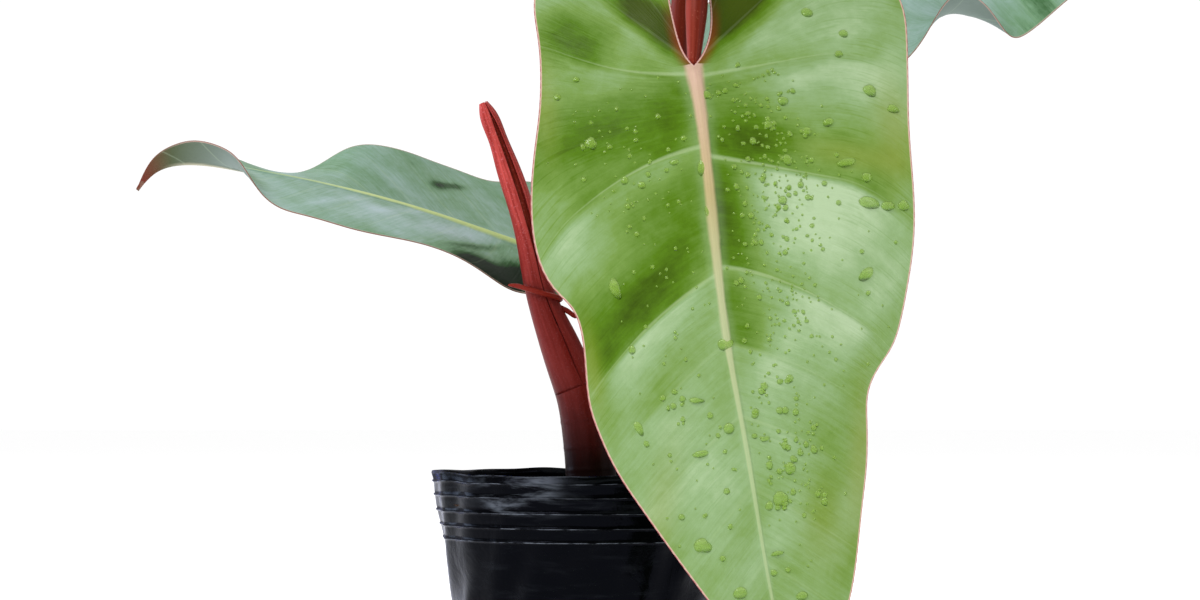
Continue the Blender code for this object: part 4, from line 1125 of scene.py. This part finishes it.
def make_pot():
    """The pot: a wall turned about Z whose outer radius is a straight taper plus ribs, with soft upright
    wrinkles and a wavy rim, and whose inner radius is a wall less; then a flat floor with a ring of holes."""
    around = 256
    angle = np.linspace(0, math.tau, around + 1)
    turn = angle / math.tau
    ribs = POT_HEIGHT - np.array(RIBS_BELOW_RIM)
    height = POT_HEIGHT * (1 - np.linspace(0, 1, 100) ** 0.8)
    height = height[np.abs(height[:, None] - ribs).min(1) > RIB_HALF_HEIGHT * 1.3]
    on_ribs = ribs[:, None] + RIB_HALF_HEIGHT * np.linspace(-1, 1, 9)
    height = np.sort(np.concatenate([height, on_ribs.ravel()]))[::-1]
    high = len(height)
    share = 1 - height / POT_HEIGHT
    plain = POT_BASE_RADIUS + (WALL_TOP_RADIUS - POT_BASE_RADIUS) * height / POT_HEIGHT
    crest = np.zeros(high)
    for below in RIBS_BELOW_RIM:
        rise = np.clip(1 - np.abs(height - (POT_HEIGHT - below)) / RIB_HALF_HEIGHT, 0, 1)
        plain = plain + RIB_DEPTH * rise**0.7
        crest = np.maximum(crest, rise)
    crest = np.maximum(crest, 0.8 * smooth_step(height, POT_HEIGHT - 0.0008, POT_HEIGHT))
    plain = plain + 0.0005 * smooth_step(height, POT_HEIGHT - 0.003, POT_HEIGHT - 0.0018)
    foot = 0.0012 * smooth_step(height, 0.0016, 0.0)
    wrinkle = 0.00045 * waves(turn[None], share[:, None] * 0.7, 21, 8, 2, 12)
    wrinkle = wrinkle + 0.0005 * waves(turn[None], share[:, None] * 0.15, 22, 6, 3, 26)
    wrinkle = (wrinkle - 0.0006) * smooth_step(height, 0.0, 0.02)[:, None]
    outer = (plain - foot)[:, None] + wrinkle
    drop = 0.0011 * (waves(turn, turn * 0, 31, 7, 2, 15) * 0.5 + 0.5).clip(0, 1.3)
    z = height[:, None] - drop[None] * smooth_step(share, 0.12, 0.0)[:, None]
    z[-1] = 0.0
    inner = outer - POT_WALL * (0.75 + 0.25 * smooth_step(share, 0.0, 0.1))[:, None]
    inner_z = np.maximum(z, POT_FLOOR)
    centre = np.zeros((1, around + 1))
    radius = np.concatenate([centre, outer[-1:] * 0.5, outer[::-1], inner, inner[-1:] * 0.5, centre])
    level = np.concatenate([centre, centre, z[::-1], inner_z, centre + POT_FLOOR, centre + POT_FLOOR])
    points = np.stack([radius * np.cos(angle), radius * np.sin(angle), level], -1)
    uv = np.stack(np.broadcast_arrays(turn[None], level), -1).reshape(-1, 2)
    # The rib crests carry the painted highlight of the pot's look.
    painted_crest_light = np.zeros(radius.shape)
    painted_crest_light[2 : 2 + high] = crest[::-1, None]
    pot = make_piece(
        "pot", points.reshape(-1, 3), grid_faces(len(radius), around + 1), [pot_look()],
        ["nursery_pot"], uv, {"crest": painted_crest_light.reshape(-1)},
    )
    work = bmesh.new()
    for i in range(DRAIN_HOLES):
        made = bmesh.ops.create_cone(
            work, cap_ends=True, segments=28, radius1=DRAIN_RADIUS, radius2=DRAIN_RADIUS, depth=POT_FLOOR * 6
        )
        turned = math.tau * (i + 0.5) / DRAIN_HOLES
        place = (DRAIN_CIRCLE * math.cos(turned), DRAIN_CIRCLE * math.sin(turned), POT_FLOOR / 2)
        bmesh.ops.translate(work, verts=made["verts"], vec=place)
    punch_mesh = bpy.data.meshes.new("punch")
    work.to_mesh(punch_mesh)
    work.free()
    punch = bpy.data.objects.new("punch", punch_mesh)
    bpy.context.scene.collection.objects.link(punch)
    cut = pot.modifiers.new("drain holes", "BOOLEAN")
    cut.object = punch
    bpy.context.view_layer.update()
    finished = bpy.data.meshes.new_from_object(pot.evaluated_get(bpy.context.evaluated_depsgraph_get()))
    pot.modifiers.clear()
    pot.data = finished
    bpy.data.objects.remove(punch)


# ---------------------------------------------------------------- potting mix


def mix_look(name, pale, deep, scale):
    look = Look(name, Roughness=0.95, Specular_IOR_Level=0.15)
    place = look.coordinates()
    crumb = look.noise(place, scale, 6.0, 0.7)
    grain = look.noise(place, scale * 6, 3.0)
    look.set("Base Color", look.mix(look.smooth(crumb, 0.35, 0.7), deep, pale))
    look.bump(crumb, 0.8, 0.003)
    look.bump(grain, 0.5, 0.0006)
    return look.material


def make_mix():
    """The mix: a plug turned about Z, its top a crown with crumbly bumps that fade out at the wall."""
    around, rings = 200, 90
    angle = np.linspace(0, math.tau, around + 1)
    share = np.linspace(0, 1, rings)[:, None]
    x, y = share * np.cos(angle), share * np.sin(angle)
    bumps = waves(x * 3, y * 3, 41, 8, 1, 5) * 0.0006 + waves(x * 9, y * 9, 42, 10, 1, 6) * 0.00035
    top = MIX_TOP + MIX_CROWN * (1 - share**2) + (bumps - 0.0008) * smooth_step(1 - share, 0.0, 0.05)
    radius = MIX_RADIUS * share * np.ones_like(angle)
    low = np.linspace(MIX_TOP - 0.004, POT_FLOOR + 0.0003, 12)[:, None] * np.ones_like(angle)
    slope = (WALL_TOP_RADIUS - POT_BASE_RADIUS) / POT_HEIGHT
    side = MIX_RADIUS - (MIX_TOP - low) * slope - 0.0012
    radius = np.concatenate([radius, side, np.zeros((1, around + 1))])
    level = np.concatenate([top, low, low[-1:]])
    points = np.stack([radius * np.cos(angle), radius * np.sin(angle), level], -1).reshape(-1, 3)
    uv = np.stack([radius, level], -1).reshape(-1, 2)
    look = mix_look("peat", srgb(88, 62, 44), srgb(34, 22, 16), 420.0)
    make_piece(
        "mix", points, grid_faces(len(radius), around + 1), [look], ["potting_mix"], uv
    )


def chip_cloud(name, count, sizes, flatness, look, seed, reach=0.94):
    """Loose bits on the mix: each is a lumpy ball of 6 x 4 faces, squashed, turned at random, half sunk."""
    pick = np.random.default_rng(seed)
    columns, rows = 7, 5
    u = np.linspace(0, math.tau, columns)
    v = np.linspace(0, math.pi, rows)
    flat, upright = np.sin(v)[:, None], np.cos(v)[:, None]
    ball = np.stack([flat * np.cos(u), flat * np.sin(u), upright * np.ones(columns)], -1).reshape(-1, 3)
    lumps = 1 + 0.28 * pick.uniform(-1, 1, (count, rows, columns))
    lumps[:, :, -1] = lumps[:, :, 0]
    lumps[:, 0] = lumps[:, 0, :1]
    lumps[:, -1] = lumps[:, -1, :1]
    size = pick.uniform(*sizes, (count, 1, 1)) * pick.uniform(0.55, 1.0, (count, 1, 3)) * (1, 0.8, flatness)
    bits = ball[None] * lumps.reshape(count, -1, 1) * size
    turns = pick.normal(0, 1, (count, 3, 3)) * (1, 1, 0.35) + np.array([[0, 0, 0], [0, 0, 0], [0, 0, 1.5]])
    axes = np.linalg.qr(np.swapaxes(turns, 1, 2)[:, :, ::-1])[0][:, :, ::-1]
    bits = np.einsum("nki,nji->nkj", bits, axes)
    radius = np.sqrt(pick.uniform(0.05, 1, count)) * MIX_RADIUS * reach
    turn = pick.uniform(0, math.tau, count)
    x, y = radius * np.cos(turn), radius * np.sin(turn)
    z = MIX_TOP + MIX_CROWN * (1 - (radius / MIX_RADIUS) ** 2) - 0.0002
    bits += np.stack([x, y, z], -1)[:, None]
    faces = grid_faces(rows, columns)[None] + (np.arange(count) * rows * columns)[:, None, None]
    made = make_piece(name, bits.reshape(-1, 3), faces.reshape(-1, 4), [look])
    made.data.shade_flat()


make_pot()
make_mix()
bark = mix_look("bark", srgb(128, 88, 58), srgb(58, 36, 24), 500.0)
crumb = mix_look("crumb", srgb(70, 48, 34), srgb(26, 17, 12), 900.0)
white_grit = mix_look("perlite", srgb(236, 232, 224), srgb(196, 190, 180), 700.0)
chip_cloud("bark_chips", 420, (0.0022, 0.0052), 0.35, bark, 51)
chip_cloud("peat_crumbs", 700, (0.0010, 0.0022), 0.7, crumb, 52)
chip_cloud("perlite", 90, (0.0012, 0.0024), 0.9, white_grit, 53)


# ---------------------------------------------------------------- water drops


def water_look():
    """Standing water: clear, with painted refraction of the leaf's green, pale at its crest and a painted
    dark crescent deepest where it hangs.
    """
    look = Look("water", Roughness=0.04, IOR=1.33, Specular_IOR_Level=0.6, Alpha=0.55)
    depth = look.attribute("depth")
    # Painted refraction: pale yellow-green at the crest, deepening to a painted dark crescent along the lower
    # edge.
    look.set("Base Color", look.ramp(depth, [
        (0.0, srgb(176, 204, 122)), (0.45, srgb(136, 174, 66)), (0.75, srgb(84, 122, 18)),
        (1.0, srgb(40, 66, 4)),
    ]))
    look.bump(look.noise(look.coordinates(), 700.0, 2.0), 0.15, 0.0003)
    return look.material


def drop_field(name, leaf, drops, rings, segments, seed):
    """Drops on the upper side of a leaf, as domes on their own frame of across, along and face directions.

    drops rows are (across with its sign, along, radius, stretch along, turn in degrees). The outline's radius
    is 1 + three sine lobes, and the height is a flattened dome whose crest hangs towards the leaf's tip.
    """
    pick = np.random.default_rng(seed)
    drops = np.asarray(drops, float)
    count = len(drops)
    across, along = np.abs(drops[:, 0]), drops[:, 1]
    place = np.empty((count, 3))
    out = np.empty((count, 3))
    down = np.empty((count, 3))
    for side, sign in SIDES:
        chosen = (drops[:, 0] >= 0) == (sign > 0)
        x, y = across[chosen], along[chosen]
        centre = surface_points(leaf, side, x, y)
        place[chosen] = centre
        out[chosen] = unit(surface_points(leaf, side, x + 0.004, y) - centre) * sign
        down[chosen] = unit(surface_points(leaf, side, x, y + 0.004) - centre)
    face = unit(np.cross(down, out))
    down = np.cross(out, face)
    angle = np.linspace(0, math.tau, segments + 1)
    share = np.linspace(0, 1, rings + 1)
    lobes = 1.0
    for turns in (2, 3, 5):
        height = pick.normal(0, 0.16 / turns, (count, 1))
        lobes = lobes + height * np.sin(turns * angle + pick.uniform(0, 6.3, (count, 1)))
    lobes[:, -1] = lobes[:, 0]
    radius = drops[:, 2, None] * lobes
    turn = np.radians(drops[:, 4])[:, None]
    u = radius * np.cos(angle)
    v = radius * np.sin(angle) * drops[:, 3, None]
    u, v = u * np.cos(turn) - v * np.sin(turn), u * np.sin(turn) + v * np.cos(turn)
    dome = np.sqrt(1 - share**2)
    tall = drops[:, 2] * pick.uniform(0.32, 0.46, count)
    tall = np.minimum(tall, 0.0011)
    sag = 0.22 * drops[:, 2, None, None] * (1 - share[:, None] ** 2)
    wide = u[:, None] * share[:, None]
    deep = v[:, None] * share[:, None] + sag
    rise = tall[:, None, None] * dome[:, None] * np.ones((1, 1, segments + 1))
    bottom = np.stack([u * 0.0, u * 0.9], 1)
    wide = np.concatenate([wide, bottom[:, ::-1]], 1)
    deep = np.concatenate([deep, np.stack([v * 0.9, v * 0.0], 1)], 1)
    rise = np.concatenate([rise, np.full((count, 2, segments + 1), -0.00025)], 1)
    points = (
        place[:, None, None] + wide[..., None] * out[:, None, None] + deep[..., None] * down[:, None, None]
        + rise[..., None] * face[:, None, None]
    )
    rows = rings + 3
    # How far down the drop a point lies sets its painted dark crescent.
    hang = deep / (drops[:, 2] * drops[:, 3])[:, None, None]
    depth = 0.42 + 0.55 * np.clip(hang, -0.6, 1.0) * np.abs(np.clip(hang, -0.6, 1.0))
    faces = grid_faces(rows, segments + 1)[None] + (np.arange(count) * rows * (segments + 1))[:, None, None]
    attributes = {"depth": depth.reshape(-1)}
    make_piece(name, points.reshape(-1, 3), faces.reshape(-1, 4), [water], attributes=attributes)


def surface_points(leaf, side, across, along):
    """Points on the upper skin of a blade, the middle surface raised by half the thickness and its bulges."""
    middle, _, normal = middle_surface(leaf, side, across, along)
    away = margin_distance(leaf[side], across[None], along[None])[0][0]
    quilt = quilting(leaf, side, across, along, away)[0]
    return middle + normal * (LEAF_THICKNESS / 2 + quilt)[..., None]


water = water_look()

# Puddles and large drops, listed one by one: (across, along, radius, stretch along, turn).
PUDDLES = [
    (0.245, 0.235, 0.0052, 0.55, 14), (0.275, 0.242, 0.0036, 0.6, 0), (0.300, 0.243, 0.0026, 1.0, 0),
    (0.215, 0.170, 0.0046, 0.45, -8), (0.245, 0.195, 0.0024, 1.0, 30), (0.268, 0.055, 0.0030, 1.1, -30),
    (0.300, 0.088, 0.0030, 0.7, 20), (0.228, 0.350, 0.0044, 0.55, -24), (0.195, 0.105, 0.0028, 0.7, -35),
    (0.243, -0.047, 0.0022, 1.0, 0), (0.192, -0.088, 0.0026, 1.2, -30), (0.160, 0.118, 0.0022, 1.0, 0),
    (0.128, 0.068, 0.0024, 1.0, 0), (0.100, 0.105, 0.0020, 1.0, 0), (0.110, 0.222, 0.0021, 1.0, 0),
    (0.230, -0.012, 0.0020, 1.0, 0), (0.125, 0.160, 0.0022, 1.3, -30), (0.178, 0.200, 0.0014, 1.0, 0),
    (0.196, 0.232, 0.0013, 1.0, 0), (0.225, 0.312, 0.0012, 1.0, 0), (0.228, 0.382, 0.0012, 1.0, 0),
    (0.038, 0.672, 0.0030, 1.3, 40), (0.020, 0.680, 0.0018, 1.2, 0), (0.060, 0.630, 0.0024, 1.3, 25),
    (0.030, 0.580, 0.0022, 0.6, 0), (-0.003, 0.430, 0.0036, 0.8, 0), (-0.002, 0.230, 0.0022, 1.9, 0),
    (-0.006, 0.162, 0.0024, 1.8, 10), (-0.088, 0.722, 0.0042, 0.75, 6), (-0.062, 0.745, 0.0014, 1.0, 0),
    (-0.060, 0.505, 0.0034, 0.40, 20), (-0.068, 0.585, 0.0038, 0.45, 0), (-0.020, 0.555, 0.0024, 1.1, 0),
    (-0.048, 0.150, 0.0020, 0.8, 0), (-0.100, 0.180, 0.0018, 1.0, 0), (-0.170, 0.105, 0.0026, 1.2, -20),
    (-0.125, 0.170, 0.0017, 1.2, 30), (-0.155, 0.330, 0.0024, 2.0, -16), (-0.142, 0.418, 0.0016, 1.3, 0),
    (-0.152, 0.530, 0.0018, 2.0, -14), (-0.045, 0.800, 0.0034, 0.8, -30), (0.045, 0.822, 0.0028, 0.7, 0),
    (0.020, 0.752, 0.0030, 0.35, 0), (0.010, 0.780, 0.0016, 1.0, 0), (-0.030, 0.115, 0.0014, 1.0, 0),
    (-0.212, 0.015, 0.0018, 1.0, 0), (-0.180, -0.010, 0.0016, 1.0, 0), (0.012, 0.050, 0.0022, 1.1, 0),
]


def scattered(count, centre, spread, sizes, seed):
    """Rows for small drops: normally spread round (across, along), mostly small, with a few larger ones."""
    pick = np.random.default_rng(seed)
    x = pick.normal(centre[0], spread[0], count)
    y = pick.normal(centre[1], spread[1], count)
    size = sizes[0] + (sizes[1] - sizes[0]) * pick.random(count) ** 3
    return np.stack([x, y, size, pick.uniform(0.9, 1.3, count), pick.uniform(-25, 25, count)], -1)


def on_blade(leaf, rows, margin=0.012):
    """The rows whose centres lie on the blade, clear of its margin and of the sinus."""
    kept = []
    for side, sign in SIDES:
        width = blade_width(leaf[side], rows[:, 1], 400)
        across = rows[:, 0] * sign
        kept.append((across > 0.014) & (across < width - margin) & (rows[:, 1] > -0.02) & (rows[:, 1] < 0.93))
    return rows[kept[0] | kept[1]]


small = np.concatenate([
    scattered(190, (0.105, 0.20), (0.042, 0.065), (0.0005, 0.0017), 61),
    scattered(130, (0.085, 0.36), (0.050, 0.070), (0.0005, 0.0013), 62),
    scattered(150, (0.055, 0.60), (0.035, 0.080), (0.0005, 0.0018), 63),
    scattered(70, (0.070, 0.06), (0.040, 0.045), (0.0006, 0.0016), 64),
    scattered(80, (-0.11, 0.12), (0.055, 0.070), (0.0005, 0.0015), 65),
    scattered(40, (-0.09, 0.30), (0.050, 0.090), (0.0005, 0.0015), 66),
    scattered(45, (-0.07, 0.58), (0.040, 0.100), (0.0005, 0.0016), 67),
    scattered(16, (0.17, 0.42), (0.060, 0.150), (0.0005, 0.0012), 68),
])
drop_field("large_water_drops", FRONT_LEAF, PUDDLES, 6, 24, 71)
drop_field("small_water_drops", FRONT_LEAF, on_blade(FRONT_LEAF, small), 3, 10, 72)


# ---------------------------------------------------------------- stage


def add_floor():
    mesh = bpy.data.meshes.new("floor")
    half = 14.0
    corners = [(-half, -half, 0), (half, -half, 0), (half, half, 0), (-half, half, 0)]
    mesh.from_pydata(corners, [], [(0, 1, 2, 3)])
    look = Look("studio floor", Roughness=0.8, Specular_IOR_Level=0.2, Emission_Strength=0.6)
    pale = look.noise(look.coordinates(), 3.0, 2.0)
    look.set("Base Color", look.mix(pale, (0.90, 0.90, 0.90, 1), (0.93, 0.93, 0.93, 1)))
    look.set("Emission Color", (1.0, 1.0, 1.0, 1.0))
    mesh.materials.append(look.material)
    floor = bpy.data.objects.new("floor", mesh)
    floor.location.z = -0.0005
    bpy.context.scene.collection.objects.link(floor)


def add_light(name, place, target, size, power, colour=(1.0, 1.0, 1.0)):
    data = bpy.data.lights.new(name, "AREA")
    data.shape = "RECTANGLE"
    data.size, data.size_y = size
    data.energy = power
    data.color = colour
    lamp = bpy.data.objects.new(name, data)
    bpy.context.scene.collection.objects.link(lamp)
    lamp.location = place
    aim = np.asarray(target, float) - np.asarray(place, float)
    lamp.rotation_mode = "QUATERNION"
    lamp.rotation_quaternion = Vector(aim).to_track_quat("-Z", "Y")
    lamp.visible_camera = False


def add_world(strength):
    """White walls all round, seen at full white and giving a softer light."""
    world = bpy.data.worlds.new("studio")
    world.use_nodes = True
    tree = world.node_tree
    shade = tree.nodes["Background"]
    shade.inputs["Color"].default_value = (1.0, 1.0, 1.0, 1.0)
    seen = tree.nodes.new("ShaderNodeLightPath").outputs["Is Camera Ray"]
    level = tree.nodes.new("ShaderNodeMapRange")
    level.inputs["To Min"].default_value = strength
    level.inputs["To Max"].default_value = 1.05
    tree.links.new(seen, level.inputs["Value"])
    tree.links.new(level.outputs["Result"], shade.inputs["Strength"])
    bpy.context.scene.world = world


def add_camera():
    """An 85 mm view from a little above the rim, looking almost level along +Y."""
    data = bpy.data.cameras.new("camera")
    data.lens = 85.0
    data.sensor_width = 36.0
    camera = bpy.data.objects.new("camera", data)
    bpy.context.scene.collection.objects.link(camera)
    camera.location = (0.0073, -1.371, 0.170)
    camera.rotation_euler = (math.radians(90 + 1.98), 0.0, 0.0)
    bpy.context.scene.camera = camera


add_floor()
add_world(0.42)
add_light("key", (-1.3, -1.5, 2.1), (0.0, 0.0, 0.2), (1.6, 1.2), 48.0)
add_light("fill", (1.9, -1.3, 1.0), (0.0, 0.0, 0.2), (1.2, 1.6), 12.0)
add_light("cool", (-2.3, 0.8, 0.7), (0.0, 0.0, 0.15), (1.2, 1.2), 26.0, (0.62, 0.76, 1.0))
add_light("back", (0.3, 2.4, 2.6), (0.0, 1.2, 0.0), (3.0, 1.5), 40.0)
add_camera()
bpy.context.scene.view_settings.view_transform = "Standard"
